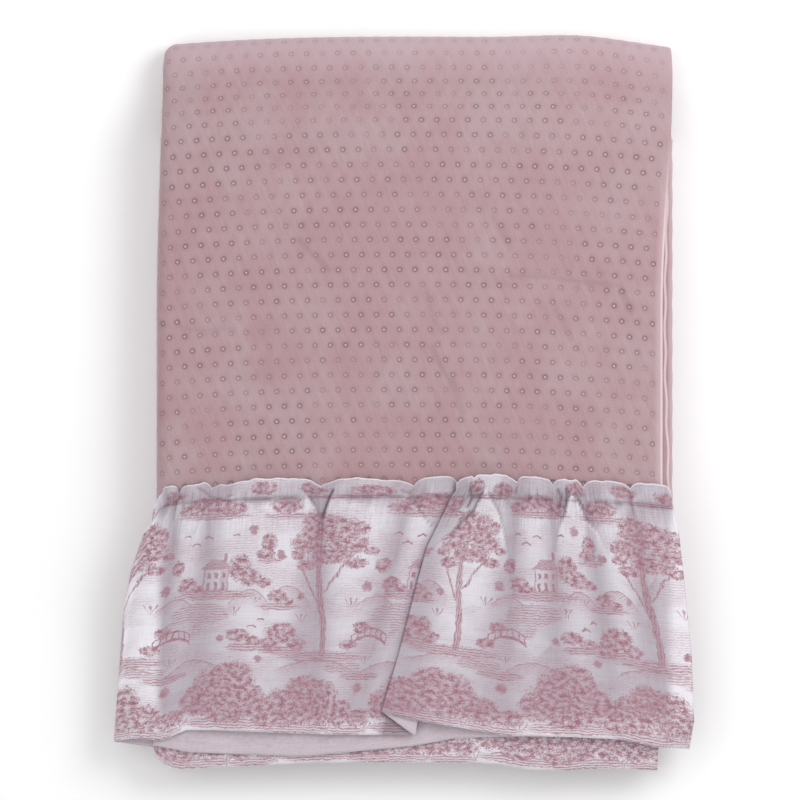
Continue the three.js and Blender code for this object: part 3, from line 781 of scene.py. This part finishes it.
def toile(finish, along, down):
    """Share of ink at a place of the cloth, and how deep its tone is."""
    repeat = along - (along * (1 / REPEAT)).floored() * REPEAT
    wobble = finish.grain(along, down, WOBBLE) - 0.5
    leafy = finish.grain(along, down, LEAFY, 3, 0.7)
    x, y = repeat + wobble * 7, down + wobble * 5
    spot = finish.joined(x, y)
    hatch = ((y + x * 0.35 + leafy * 3) * 2.3).strokes()
    level_hatch = ((y + leafy * 2.5) * 2.1).strokes()
    upright_hatch = ((x + leafy * 2.5) * 2.2).strokes()

    def patch(blobs, ragged):
        return nearest_blob(finish, spot, blobs) + (leafy - 0.5) * ragged

    foliage = patch(TREE_LEAVES + SHRUBS, 1.3).step(1.08, 0.86)
    clumps = finish.grain(along, down, CLUMPS)
    lights = finish.grain(along, down, LIGHTS, 2, 0.7)
    foliage_tone = (clumps * 1.6 + lights * 1.7 - 1.25).step(0.0, 0.75)
    foliage_ink = foliage * (0.22 + 0.78 * (foliage_tone + hatch * 0.2).low(1.0))
    bank_ink = patch(BANKS, 0.9).step(1.05, 0.7) * (level_hatch * 0.7 + 0.2)
    water_ink = patch(WATER, 0.5).step(1.05, 0.85) * (level_hatch.step(0.35, 0.8) * 0.6 + 0.12)

    # Hills with slanted hatching that fades downward, and tufts of grass that fan out
    ground = []
    for middle, top, width, height in HILLS:
        away = (x - middle) * (1 / width)
        crest = y - top - away * away * height
        body = crest.step(-0.8, 0.8) * crest.step(height * 1.5, 0) * abs(away).step(1.25, 0.7)
        line = abs(crest).step(1.1, 0.4) * abs(away).step(1.2, 0.8)
        ground.append((body * (hatch * 0.5 + 0.08)).high(line * 0.7))
    for middle, foot, height in TUFTS:
        up = (foot - y) * (1 / height)
        spread = (x - middle) / (up.high(0.0) + 0.35)
        blades = ((spread + leafy * 4) * 1.1).wave().step(0.1, 0.7)
        blades = blades * abs(spread).step(8, 5) * abs(up - 0.5 + leafy * 0.4).step(0.72, 0.5)
        ground.append(blades * 0.75)

    # Tree trunk with two boughs
    from_tree = x - TREE
    stem = inside_box(from_tree - ((y - 150) * 0.035).wave() * 5, y, STEM)
    right_bough = inside_box(from_tree - (140 - y) * 0.55, y, RIGHT_BOUGH)
    left_bough = inside_box(from_tree + (156 - y) * 0.5, y, LEFT_BOUGH)
    trunk_ink = stem.high(right_bough).high(left_bough) * (0.45 + 0.5 * upright_hatch)

    # Cottage: walls, roof, chimney, windows and door
    walls = inside_box(x, y, WALLS)
    roof = inside_box(x, y, ROOF) * (abs(x - COTTAGE) - y + ROOF[3]).step(20.5, 19)
    chimney = inside_box(x, y, CHIMNEY)
    from_window = (x - COTTAGE).from_nearest(WINDOW_PITCH)
    panes = from_window.step(2.4, 1.6) * inside_box(x, y, UPPER_WINDOWS)
    lower = from_window.step(2.2, 1.4) * inside_box(x, y, LOWER_WINDOWS)
    house = walls.high(roof).high(chimney)
    house_ink = ((walls - inside_box(x, y, INNER_WALLS)) * 0.8).high(roof * (0.45 + 0.4 * hatch))
    house_ink = house_ink.high(chimney * 0.8).high(panes * 0.9).high(lower * 0.85)
    house_ink = house_ink.high(inside_box(x, y, SHADED_WALL) * 0.35)

    # Footbridge: an arched deck with a rail and posts
    from_middle = x - BRIDGE_MIDDLE
    above_deck = y - from_middle * from_middle * 0.02 - BRIDGE_TOP
    on_bridge = inside_box(x, y, FOOTBRIDGE)
    deck = abs(above_deck).step(2.2, 1.2)
    rail = abs(above_deck + 9).step(1.3, 0.6)
    posts = from_middle.from_nearest(POST_PITCH).step(1.1, 0.5) * abs(above_deck + 4.5).step(5.2, 4.6)
    bridge_ink = on_bridge * deck.high(rail).high(posts) * 0.9

    ink = foliage_ink.high(bank_ink).high(water_ink * (1 - on_bridge * 0.4)).high(trunk_ink)
    ink = ink.high(functools.reduce(Wire.high, ground) * (1 - foliage * 0.7))
    ink = (ink * (1 - house)).high(house_ink).high(bridge_ink)
    for bird_x, bird_y, span in BIRDS:
        beside = abs(x - bird_x)
        wing = abs(beside * 0.55 - (y - bird_y)).step(1.5, 0.7) * beside.step(span, span - 1.5)
        ink = ink.high(wing * 0.85)
    sprigs = [(sprig_x, sprig_y, size, size) for sprig_x, sprig_y, size in SPRIGS]
    ink = ink.high(patch(sprigs, 2.2).step(0.95, 0.7) * 0.8)

    # Faint strokes of sky and shade over the open ground
    haze = finish.grain(along, down, HAZE, 3).step(0.42, 0.62)
    ink = ink.high(haze * (level_hatch.step(0.4, 0.95) * 0.3 + 0.08 + leafy.step(0.5, 0.7) * 0.18))
    return ink.low(1.0), (clumps * 1.3 + leafy * 0.6 - 0.45).low(1.0).high(0.0)


# Padded panel
def next_hem_drift(y, turn):
    out = NEXT_HEM_OUT * float(smooth(*NEXT_HEM_DRIFTS, y)) + NEXT_HEM_WAVE * math.sin(y / NEXT_HEM_PITCH)
    return out * (1 - min(turn, 1))


def edges(y, turn):
    """Side edges at one place of the route; turn counts from 0 on top to 2 at the bottom."""
    far = float(smooth(*FLARED, y))
    shift = SHIFT * math.sin(turn * 2)
    return {
        "left": LEFT_EDGE + FLARE["left"] * far + shift,
        "top_hem": TOP_HEM_EDGE + FLARE["top_hem"] * far - shift,
        "next_hem": NEXT_HEM_EDGE + FLARE["next_hem"] * far - shift + next_hem_drift(y, turn),
        "fold": FOLD_EDGE - shift,
    }


def route(place, height):
    """Y and height of a place: a stretch of one pass, or an angle of one of the two big folds."""
    if "y" in place:
        levels = [2 * PASS + height, 2 * PASS - GAP - height, height]
        return place["y"] + 0 * height, levels[place["run"]], place["run"] < 2
    far = place["run"] == 0
    radius = TIGHT + height if far else TIGHT + GROUP - height
    centre = (2 * PASS if far else PASS) - TIGHT
    out = radius * math.sin(place["angle"])
    return (FAR_BEND + out if far else NEAR_BEND - out), centre + radius * math.cos(place["angle"]), far


def lay(place, x, height):
    y, z, sags = route(place, height)
    sag = SAG * smooth(SAG_FROM, SAG_TO, y) if sags else 0
    pressed = (z - sag) * (1 - PRESS * smooth(SAG_FROM, FAR_END, y))
    bulge = BULGE * smooth(BULGE_FROM, FAR_END, y) * np.exp(-(((x - BULGE_AT) / BULGE_WIDTH) ** 2))
    lies = y - arch(x) + bulge
    return np.stack([x, lies, soft_height(x, lies, pressed)], 1)


def half_circle(x, height, radius, side, rising, steps):
    share = shares_of(steps)
    angle = np.pi * (share if rising else 1 - share)
    return x + side * radius * np.sin(angle), height - radius * np.cos(angle), share


def level_run(start, end, height):
    share = shares_of(HIDDEN_STEPS)[1:-1]
    return mix(start, end, share), np.full(len(share), float(height)), share


def section(edge):
    """Section across the panel without its upper face, from that face's left border to its right one.

    Its face and its reverse are rows of x, height, place along it, quilting column and share of relief.
    """
    left, right = edge["left"] + GROUP / 2, edge["fold"] - LAYER - TIGHT
    hem = LAYER / 2
    top_end, next_end = edge["top_hem"] - hem, edge["next_hem"] - hem
    middle, low = GROUP / 2, LAYER + TIGHT
    top, nxt = GROUP - LAYER, 2 * LAYER + 2 * GAP
    wide = COLUMNS + SLACK_COLUMNS
    turns = [math.pi * radius / CELL for radius in (middle, low, TIGHT)]
    ends = np.cumsum([0, turns[0], wide, turns[1], wide, turns[2], wide])
    face = [
        half_circle(left, middle, middle, -1, False, ROLL_STEPS),
        level_run(left, right, 0),
        half_circle(right, low, low, 1, True, INNER_STEPS),
        level_run(right, left, 2 * LAYER + GAP),
        half_circle(left, middle, TIGHT, -1, True, TIGHT_STEPS),
        level_run(left, next_end, nxt),
    ]
    reverse = [
        half_circle(top_end, GROUP - hem, hem, 1, False, HEM_STEPS),
        level_run(top_end, left, top),
        half_circle(left, middle, middle - LAYER, -1, False, INNER_STEPS),
        level_run(left, right, LAYER),
        half_circle(right, low, TIGHT, 1, True, TIGHT_STEPS),
        level_run(right, left, LAYER + GAP),
        half_circle(left, middle, LAYER + TIGHT, -1, True, HEM_STEPS),
        level_run(left, next_end, nxt + LAYER),
        half_circle(next_end, nxt + hem, hem, 1, False, HEM_STEPS),
    ]
    spans = list(zip(ends, ends[1:]))
    top_spans = [(-COLUMNS, -COLUMNS - HEM_COLUMNS), (-COLUMNS, 0)]
    last_span = (ends[-1], ends[-1] + HEM_COLUMNS)
    rows = []
    for start, parts, covered, raised in (
        (1, face, spans, (1, 3)),
        (-1, reverse, [*top_spans, *spans, last_span], ()),
    ):
        row = []
        for at, ((x, height, share), (first, last)) in enumerate(zip(parts, covered), start):
            bump = np.sin(np.pi * share) ** 0.5 if at in raised else 0 * share
            row.append(np.stack([x, height, share + at, -mix(first, last, share), bump], 1))
        rows.append(np.concatenate(row))
    return rows[0], rows[1], left, top_end


def dot_relief(column, row):
    """Depth of the quilting at a place of the cloth: low at each dot, full between dots."""
    a, b = (column + row) / 2, (column - row) / 2
    near_a, near_b = a - np.round(a), b - np.round(b)
    from_dot = np.hypot((near_a + near_b) * CELL, (near_a - near_b) * ROW_PITCH)
    strength = DOT_STRENGTH + DOT_UNEVEN * drifts(np.round(a) * 7.3, np.round(b) * 5.1, (1, 1), 11)
    dimple = DOT_DEPTH * strength * np.exp(-((from_dot / DOT_RADIUS) ** 2))
    puff = PUFF * (1 - (np.cos(2 * np.pi * a) + np.cos(2 * np.pi * b)) / 2) / 2
    return puff - dimple


def drag_relief(column, row):
    """Low slanted folds where the velvet is dragged between its dots."""
    x, y = column * CELL, row * ROW_PITCH
    slanted = drifts(x + 0.45 * y, y, SLANTED_DRAG, 21)
    upright = drifts(x - 0.1 * y, y, UPRIGHT_DRAG, 22)
    return DRAG * (0.6 * slanted + 0.4 * upright) + SWELL * drifts(x, y, SWELL_SIZE, 23)


def crease_relief(x, y):
    """Height of the creases at a place, and how close it is to one of them, which sets how dark the painted
    shade in a crease is.
    """
    depth, near = np.zeros(np.shape(x)), np.zeros(np.shape(x))
    for line, deepest, width in CREASES:
        away = distance_to_line(x, y, line) / width
        depth += deepest * (CREASE_LIP * np.exp(-((away - CREASE_LIP_AT) ** 2)) - np.exp(-(away**2)))
        near = np.maximum(near, deepest * np.exp(-((away * 1.3) ** 2)))
    return depth, near


def upper_place(at):
    """Place on the upper pass and its far fold, at a length that leaves out the sag."""
    if at > UPPER_RUN:
        return {"run": 0, "angle": (at - UPPER_RUN) / FOLD_REACH}
    return {"run": 0, "y": RUFFLED_HEM + at}


def route_places():
    lengths = np.linspace(0, UPPER_RUN + math.pi * FOLD_REACH, ROUTE_STEPS)
    line = np.concatenate([lay(upper_place(at), np.zeros(1), np.array([float(GROUP)])) for at in lengths])
    walked = np.concatenate([[0], np.cumsum(np.linalg.norm(np.diff(line, axis=0), axis=1))])
    last = walked[-1] / ROW_PITCH
    places = []
    for row in np.linspace(0, last, round(last * FINE_ROWS) + 1):
        at = float(np.interp(row * ROW_PITCH, walked, lengths))
        places.append({"row": row, **upper_place(at)})
    dense = len(places)
    middle, lowest = (shares_of(round(run / ROW_PITCH * LOWER_ROWS)) for run in (MIDDLE_RUN, LOWEST_RUN))
    for run, name, start, change, length, shares in (
        (1, "y", FAR_BEND, -MIDDLE_RUN, MIDDLE_RUN, middle[1:]),
        (1, "angle", 0, math.pi, math.pi * FOLD_REACH, shares_of(FOLD_STEPS)[1:-1]),
        (2, "y", NEAR_BEND, LOWEST_RUN, LOWEST_RUN, lowest),
    ):
        for share in shares:
            row = last + share * length / ROW_PITCH
            places.append({"run": run, "row": row, name: start + share * change})
        last += length / ROW_PITCH
    return places, dense


def velvet_panel(material):
    places, dense = route_places()
    points, cloth, relief, faces = [], [], [], []
    count = 0
    rest_ids, top_ids = [], []
    for step, place in enumerate(places):
        turn = place["run"] + place.get("angle", 0) / math.pi
        outer, _, _ = route(place, np.array([float(GROUP)]))
        face, reverse, left, top_end = section(edges(float(outer[0]), turn))
        steps = COLUMNS * FINE if step < dense else COARSE_STEPS
        share = shares_of(steps)[1:-1]
        fade = 1 - smooth(*FADE_ANGLES, place.get("angle", 0) if step < dense else FADE_ANGLES[1])
        top = np.stack([
            mix(left, top_end, share),
            np.full(len(share), float(GROUP)),
            share,
            share * COLUMNS,
            fade * smooth(COLUMNS, COLUMNS - HEM_FADE, share * COLUMNS),
        ], 1)
        face[0, 4] = fade
        rows = np.concatenate([face, reverse[::-1], top])
        points.append(lay(place, rows[:, 0], rows[:, 1]))
        row = np.full(len(rows), place["row"])
        cloth.append(np.stack([rows[:, 3], row - FIRST_ROW, np.zeros(len(rows))], 1))
        relief.append(rows[:, 4])
        rest = len(face) + len(reverse)
        rest_ids.append(count + np.arange(rest))
        top_ids.append(count + np.concatenate([[0], rest + np.arange(len(share)), [rest - 1]]))
        count += len(rows)
    points, cloth, relief = np.concatenate(points), np.concatenate(cloth), np.concatenate(relief)

    rest_grid = np.stack(rest_ids)[:, ::-1]
    faces += quads(rest_grid)
    faces += quads(np.stack(top_ids[:dense]))
    faces += quads(np.stack(top_ids[dense:]))
    before, after = top_ids[dense - 1], top_ids[dense]
    spread = [list(zip(ids.tolist(), np.linspace(0, 1, len(ids)))) for ids in (before, after)]
    faces += zipped(*spread)

    # Cut ends: the ruffled hem and the lowest hem
    face, reverse, _, _ = section(edges(0, 0))
    for end, flip in ((0, False), (-1, True)):
        ids = rest_ids[end]
        upper = top_ids[end][1:-1][::-1]
        at_upper = np.linspace(0, 1, len(upper) + 2)[1:-1]
        front = [(ids[-1], -1.0), *zip(upper, at_upper), *zip(ids[: len(face)], face[:, 2])]
        back = list(zip(ids[len(face):][::-1], reverse[:, 2]))[1:]
        cap = zipped(back, front) if flip else zipped(front, back)
        faces += [tuple(int(i) for i in triangle) for triangle in cap]

    normals = normals_of(points, faces)
    x, y = points[:, 0], points[:, 1]
    column, row = cloth[:, 0], cloth[:, 1]
    upper = smooth(*UPPER_LEVELS, points[:, 2]) * (row < UPPER_RUN / ROW_PITCH + ROWS_PAST_FOLD)
    creased, painted_crease_shade = crease_relief(x, y)
    height = dot_relief(column, row) + upper * (drag_relief(column, row) + creased)
    # Third number of the cloth attribute: painted shade along the creases
    cloth[:, 2] = upper * painted_crease_shade
    points = points + normals * (relief * height * smooth(*FIRST_ROWS, row))[:, None]
    return make_piece("velvet_panel", points, faces, material, cloth=cloth)


# Gathered ruffle
def layer_level(layer, x, y):
    past = np.maximum(0, DROOP_FROM - y) / DROOP_LENGTH
    beside = np.maximum(0, np.maximum(SIDE_DROOP_FROM - x, x - FOLD_EDGE)) / SIDE_DROOP_LENGTH
    droop = DROOP * past**2 + SIDE_DROOP * beside**SIDE_DROOP_POWER
    sewn, lies = LEVELS[layer]
    return mix(sewn, lies, smooth(*SINKS, -y)) - droop


def top_y(x, hem, down):
    return mix(HEADING_TOP - arch(x), curve(hem, x), down)


def gather_lines(down):
    lines = np.append(mix(HEADS, HEMS, down), 0.0)
    edge_y = float(top_y(lines[0], LEFT_HEM, down))
    depth = float(layer_level(3, 0, edge_y) - layer_level(0, 0, edge_y))
    lines[0] = curve(RUFFLE_LEFT, edge_y) + depth * curve(SIDE_REACH, down)
    lines[PLEAT] = curve(PLEAT_FOLD, mix(HEADING_TOP, PLEAT_FOLD[0][0], down))
    lines[-1] = curve(RUFFLE_RIGHT, float(top_y(RUFFLE_RIGHT[-1][1], RIGHT_HEM, down)))
    return lines


def gathered(x, lines, down):
    """Height of the gathers at x, how close it is to a line, and its place along the cloth."""
    cell = np.clip(np.searchsorted(lines, x, side="right") - 1, 0, len(lines) - 2)
    share = np.clip((x - lines[cell]) / (lines[cell + 1] - lines[cell]), 0, 1)
    arched = np.sin(np.pi * share)
    places = np.append(mix(HEADS, HEMS, EVEN_AT), CLOTH_END)
    along = mix(places[cell], places[cell + 1], share)
    height = (FALLS[cell] * down + RISES[cell] * curve(GATHER_DOWN, down)) * arched
    return height, (1 - arched) ** 3, along


def across_cells(lines, first, last):
    places = [np.array([lines[first]])]
    heads = np.append(HEADS, RUFFLE_RIGHT[-1][1])
    for cell in range(first, last):
        steps = max(3, round((heads[cell + 1] - heads[cell]) / TOP_STEP))
        places.append(mix(lines[cell], lines[cell + 1], shares_of(steps)[1:]))
    return np.concatenate(places)


def side_turn(start, end, side, reach_share, steps=TURN_STEPS):
    """Half turn between two points at different levels; side -1 bulges left and 1 right."""
    reach = abs(end[2] - start[2]) * reach_share
    step = np.arange(1, steps)
    angle = np.pi * step / steps
    share = (1 - np.cos(angle)) / 2
    slant = np.clip(step / steps / TURN_SLANT, 0, 1)
    x = mix(start[0], end[0], share) + side * reach * np.sin(angle) ** TURN_FULLNESS
    along, raised_by = mix(start[3], end[3], step / steps), mix(start[4], end[4], share)
    y, z = mix(start[1], end[1], slant), mix(start[2], end[2], share)
    return np.stack([x, y, z, along, raised_by, 0 * x], 1)


def hidden_run(layer, start, end, hem, down, along):
    share = np.append(np.linspace(0, NEAR, NEAR_STEPS), np.linspace(NEAR, 1, HIDDEN_STEP_SHARES + 1)[1:])
    if start > end:
        share = 1 - share[::-1]
    x = mix(start, end, share)
    y = mix(RUFFLED_HEM - HIDDEN_START - arch(x), curve(hem, x), down)
    return np.stack([x, y, layer_level(layer, x, y), along - np.abs(x - start), 0 * x, 0 * x], 1)


# Painted shade of the deep slits at a place, from 0 to its darkest
def slit_painted_shade(x, y):
    depth = np.zeros(np.shape(x))
    for line, width, deepest in SLITS:
        away = distance_to_line(x, y, line) / width
        depth = np.maximum(depth, deepest * np.exp(-(away**2)))
    return depth


def fold_shade(x, y):
    """Shade on the low side of each sharp fold, from 0 to 1."""
    shaded = np.zeros(np.shape(x))
    for line, high, rises, _ in LEDGES:
        signed, share = beside_line(x, y, line)
        below = signed * high
        ends = smooth(*SHADE_STARTS, share) * smooth(*SHADE_ENDS, share)
        wide = np.exp(-np.maximum(below, 0) / SHADE_REACH)
        fall = mix(wide, np.exp(-((below / SHADE_LINE) ** 2)), SHADE_LINE_SHARE)
        fall = np.where(below > -SHADE_LINE / 2, fall, 0)
        shaded = np.maximum(shaded, mix(*rises, share) / SHADE_FULL * ends * fall)
    return shaded


def ruffle_relief(x, y, along, down):
    """Height of the sharp folds, the puckers at the gather line and the soft folds below it."""
    height = np.zeros(np.shape(x))
    for line, high, rises, reach in LEDGES:
        signed, share = beside_line(x, y, line)
        inward = signed * -high
        ends = smooth(*LEDGE_STARTS, share) * (1 if rises[1] else smooth(*LEDGE_ENDS, share))
        ramp = smooth(-LEDGE_RAMP, LEDGE_RAMP, inward) * np.exp(-np.maximum(inward, 0) / reach)
        height += mix(*rises, share) * ends * ramp
    from_stitch = (down - HEADING_SHARE) * RUFFLE_LENGTH
    pucker = np.maximum(0, drifts(along, from_stitch / 30, PUCKER_SIZE, 52) + 0.25)
    near = np.exp(-((from_stitch / PUCKER_REACH) ** 2)) * (1 - np.exp(-((from_stitch / 3) ** 2)) * 0.5)
    soft = 1 + drifts(along, down * 2, SOFT_SIZE, 53)
    below = smooth(HEADING_SHARE, 0.2, down) * (1 - 0.6 * down)
    fine = FINE_FOLD * (1 + drifts(along, down * RUFFLE_LENGTH, FINE_SIZE, 54))
    crumpled = 0.5 * (1 + drifts(along + from_stitch * CRUMPLE_SLANT, from_stitch, CRUMPLE_SIZE, 55))
    crumpled = CRUMPLE * crumpled * smooth(HEADING_SHARE * 1.1, HEADING_SHARE * 0.7, down)
    return height + PUCKER * pucker * near + SOFT_FOLD * soft * below + fine + crumpled


def ruffle_row(down):
    """Middle line of the whole strip at one place down it: x, y, z, the place along the cloth, how far it is
    raised and its painted shade.
    """
    lines = gather_lines(down)
    fold = lines[PLEAT]
    under = fold + mix(*PLEAT_DEPTH, down)
    heading = float(np.clip(1 - down / HEADING_SHARE, 0, 1))

    def top_points(x, y, lift, offset, shaded=0):
        height, pinch, along = gathered(x, lines, down)
        y = y + heading * (curve(HEADING_EDGE, x) + HEADING_WAVE * drifts(along, 0, HEADING_SIZE, 51))
        raised_by = height + ruffle_relief(x, y, along, down) * smooth(lines[0], lines[0] + EDGE_CALM, x)
        stitch_painted_shade = STITCH_SHADE * math.exp(-(((down - HEADING_SHARE) * RUFFLE_LENGTH / STITCH_REACH) ** 2))
        stitch_painted_shade = stitch_painted_shade * (1 + drifts(along, 0, STITCH_SIZE, 56))
        # Painted shade of the slits, of the sharp folds' low sides, of the stitches and under the pleat
        fold_and_slit_painted_shade = np.maximum(slit_painted_shade(x, y), FOLD_SHADE * fold_shade(x, y))
        deep_tone_and_painted_shade = np.maximum(fold_and_slit_painted_shade, np.maximum(stitch_painted_shade, shaded))
        z = layer_level(3, x, y) + raised_by + lift + HEADING_LIFT * heading
        return np.stack([x, y - NOTCH * heading * pinch, z, along + offset, raised_by, deep_tone_and_painted_shade], 1)

    x = across_cells(lines, PLEAT, len(GATHERS))[::-1]
    raised = 2 * PLEAT_LEVEL * (1 - smooth(under, under + RAISED_REACH, x))
    right = top_points(x, top_y(x, RIGHT_HEM, down), raised, 0)

    share = shares_of(BACK_STEPS)
    x = np.append(mix(under, fold, share[:-1]), across_cells(lines, 0, PLEAT)[::-1])
    shaded = PLEAT_SHADE * np.exp(-np.maximum(fold - x, 0) / PLEAT_SHADE_REACH)
    left = top_points(x, top_y(x, LEFT_HEM, down), 0, -2 * PLEAT_DEPTH[1], shaded)
    x = mix(fold, under, share)
    y = mix(float(top_y(fold, RIGHT_HEM, down)), float(top_y(under, LEFT_HEM, down)), share)
    back = top_points(x, y, PLEAT_LEVEL, 0)
    back[:, 3] = right[-1, 3] - (x - fold)

    right_fold = mix(FOLD_EDGE, RIGHT_FOLD_HEM, down) - LAYER
    inner_fold = mix(*INNER_FOLD, down)
    lowest = hidden_run(0, left[-1, 0], right_fold, LOWEST_RUFFLE_HEM, down, left[-1, 3])
    lowest[:, 3] -= ROLLED_CLOTH * (left[-1, 2] - lowest[0, 2])
    printed = hidden_run(1, right_fold, inner_fold, PRINTED_HEM, down, lowest[-1, 3])
    reversed_run = hidden_run(2, inner_fold, right_fold, REVERSE_HEM, down, printed[-1, 3])
    return np.concatenate([
        right, side_turn(right[-1], back[0], -1, ROUND),
        back, side_turn(back[-1], left[0], 1, ROUND),
        left, side_turn(left[-1], lowest[0], -1, float(curve(SIDE_REACH, down)), SIDE_TURN_STEPS),
        lowest, side_turn(lowest[-1], printed[0], 1, ROUND),
        printed, side_turn(printed[-1], reversed_run[0], -1, ROUND),
        reversed_run,
    ])


def gathered_ruffle(material):
    downs = np.append(np.linspace(0, FOLDS_FROM, ROWS_TO_FOLDS), np.linspace(FOLDS_FROM, 1, ROWS_TO_HEM)[1:])
    middle = np.stack([ruffle_row(down) for down in downs])
    after = np.concatenate([middle[:, 1:], middle[:, -1:]], 1)
    before = np.concatenate([middle[:, :1], middle[:, :-1]], 1)
    run, rise = after[..., 0] - before[..., 0], after[..., 2] - before[..., 2]
    length = np.hypot(run, rise)
    sides = []
    for sign in (1, -1):
        x = middle[..., 0] + sign * RUFFLE_THICKNESS / 2 * rise / length
        z = middle[..., 2] - sign * RUFFLE_THICKNESS / 2 * run / length
        sides.append(np.stack([x, middle[..., 1], soft_height(x, middle[..., 1], z)], -1))
    rows, columns = middle.shape[:2]
    down = np.repeat(downs[:, None] * RUFFLE_LENGTH, columns, 1)
    cloth = [np.stack([middle[..., 3], down, np.full(down.shape, side)], -1) for side in (1.0, 0.0)]
    front = np.arange(rows * columns).reshape(rows, columns)
    back = front + rows * columns
    rims = [np.stack([back[0], front[0]]), np.stack([front[-1], back[-1]])]
    rims += [np.stack([back[:, 0], front[:, 0]], 1), np.stack([front[:, -1], back[:, -1]], 1)]
    faces = sum((quads(ids) for ids in (front, back[:, ::-1], *rims)), [])
    points = np.concatenate([side.reshape(-1, 3) for side in sides])
    cloth = np.concatenate([side.reshape(-1, 3) for side in cloth])
    x, y = points[:, 0], points[:, 1]
    backing = smooth(*BACKED_LEFT, x) * smooth(*BACKED_RIGHT, x) * smooth(*BACKED_NEAR, y)
    raised_by, deep_tone_and_painted_shade = (np.tile(middle[..., part].ravel(), 2) for part in (4, 5))
    backing = backing * (1 - LIFTED_SHARE * smooth(*LIFTED, raised_by))
    # The attribute holds how much the panel shows through, then the painted shade
    backing = np.stack([backing, deep_tone_and_painted_shade, 0 * backing], 1)
    return make_piece("ruffle_strip", points, faces, material, cloth=cloth, backing=backing)


def pale_floor():
    """Matt studio paper with a barely visible grain."""
    finish = Finish("pale_floor", 0.9)
    place = finish.node("TexCoord", output=3)
    grain = finish.noise(place, 3)
    finish.colour(finish.blend(grain, shade(247, 247, 247), shade(250, 250, 250)))
    return finish.material


panel = velvet_panel(velvet())
ruffle = gathered_ruffle(printed_cloth())
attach(panel, "root")
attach(ruffle, "root")
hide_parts("quilt_body")
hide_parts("ruffle")

# Floor, lights and camera
bpy.ops.mesh.primitive_plane_add(size=FLOOR_SIZE)
floor = bpy.context.object
floor.name = "floor"
floor.data.materials.append(pale_floor())

world = bpy.data.worlds.new("studio")
bpy.context.scene.world = world
world.use_nodes = True
background = world.node_tree.nodes["Background"]
background.inputs["Color"].default_value = (1, 1, 1, 1)
background.inputs["Strength"].default_value = SKY_LIGHT


def area_light(name, place, size, power):
    data = bpy.data.lights.new(name, "AREA")
    data.shape = "SQUARE"
    data.size = size
    data.energy = power
    light = add_object(name, data)
    light.location = place
    direction = -np.array(place)
    light.rotation_euler = (
        math.atan2(math.hypot(direction[0], direction[1]), -direction[2]),
        0,
        math.atan2(direction[1], direction[0]) - math.pi / 2,
    )


area_light("soft_key", **SOFT_KEY)
area_light("soft_fill", **SOFT_FILL)

camera_data = bpy.data.cameras.new("camera")
camera_data.sensor_width = SENSOR_WIDTH
camera_data.lens = SENSOR_WIDTH * CAMERA_HEIGHT / VIEW_WIDTH
camera = add_object("camera", camera_data)
camera.location = (
    (VIEW_CENTRE[0] + PLACED[0]) * MM,
    (VIEW_CENTRE[1] + PLACED[1]) * MM,
    (VIEW_LEVEL + CAMERA_HEIGHT) * MM,
)
bpy.context.scene.camera = camera
bpy.context.scene.view_settings.view_transform = "Standard"
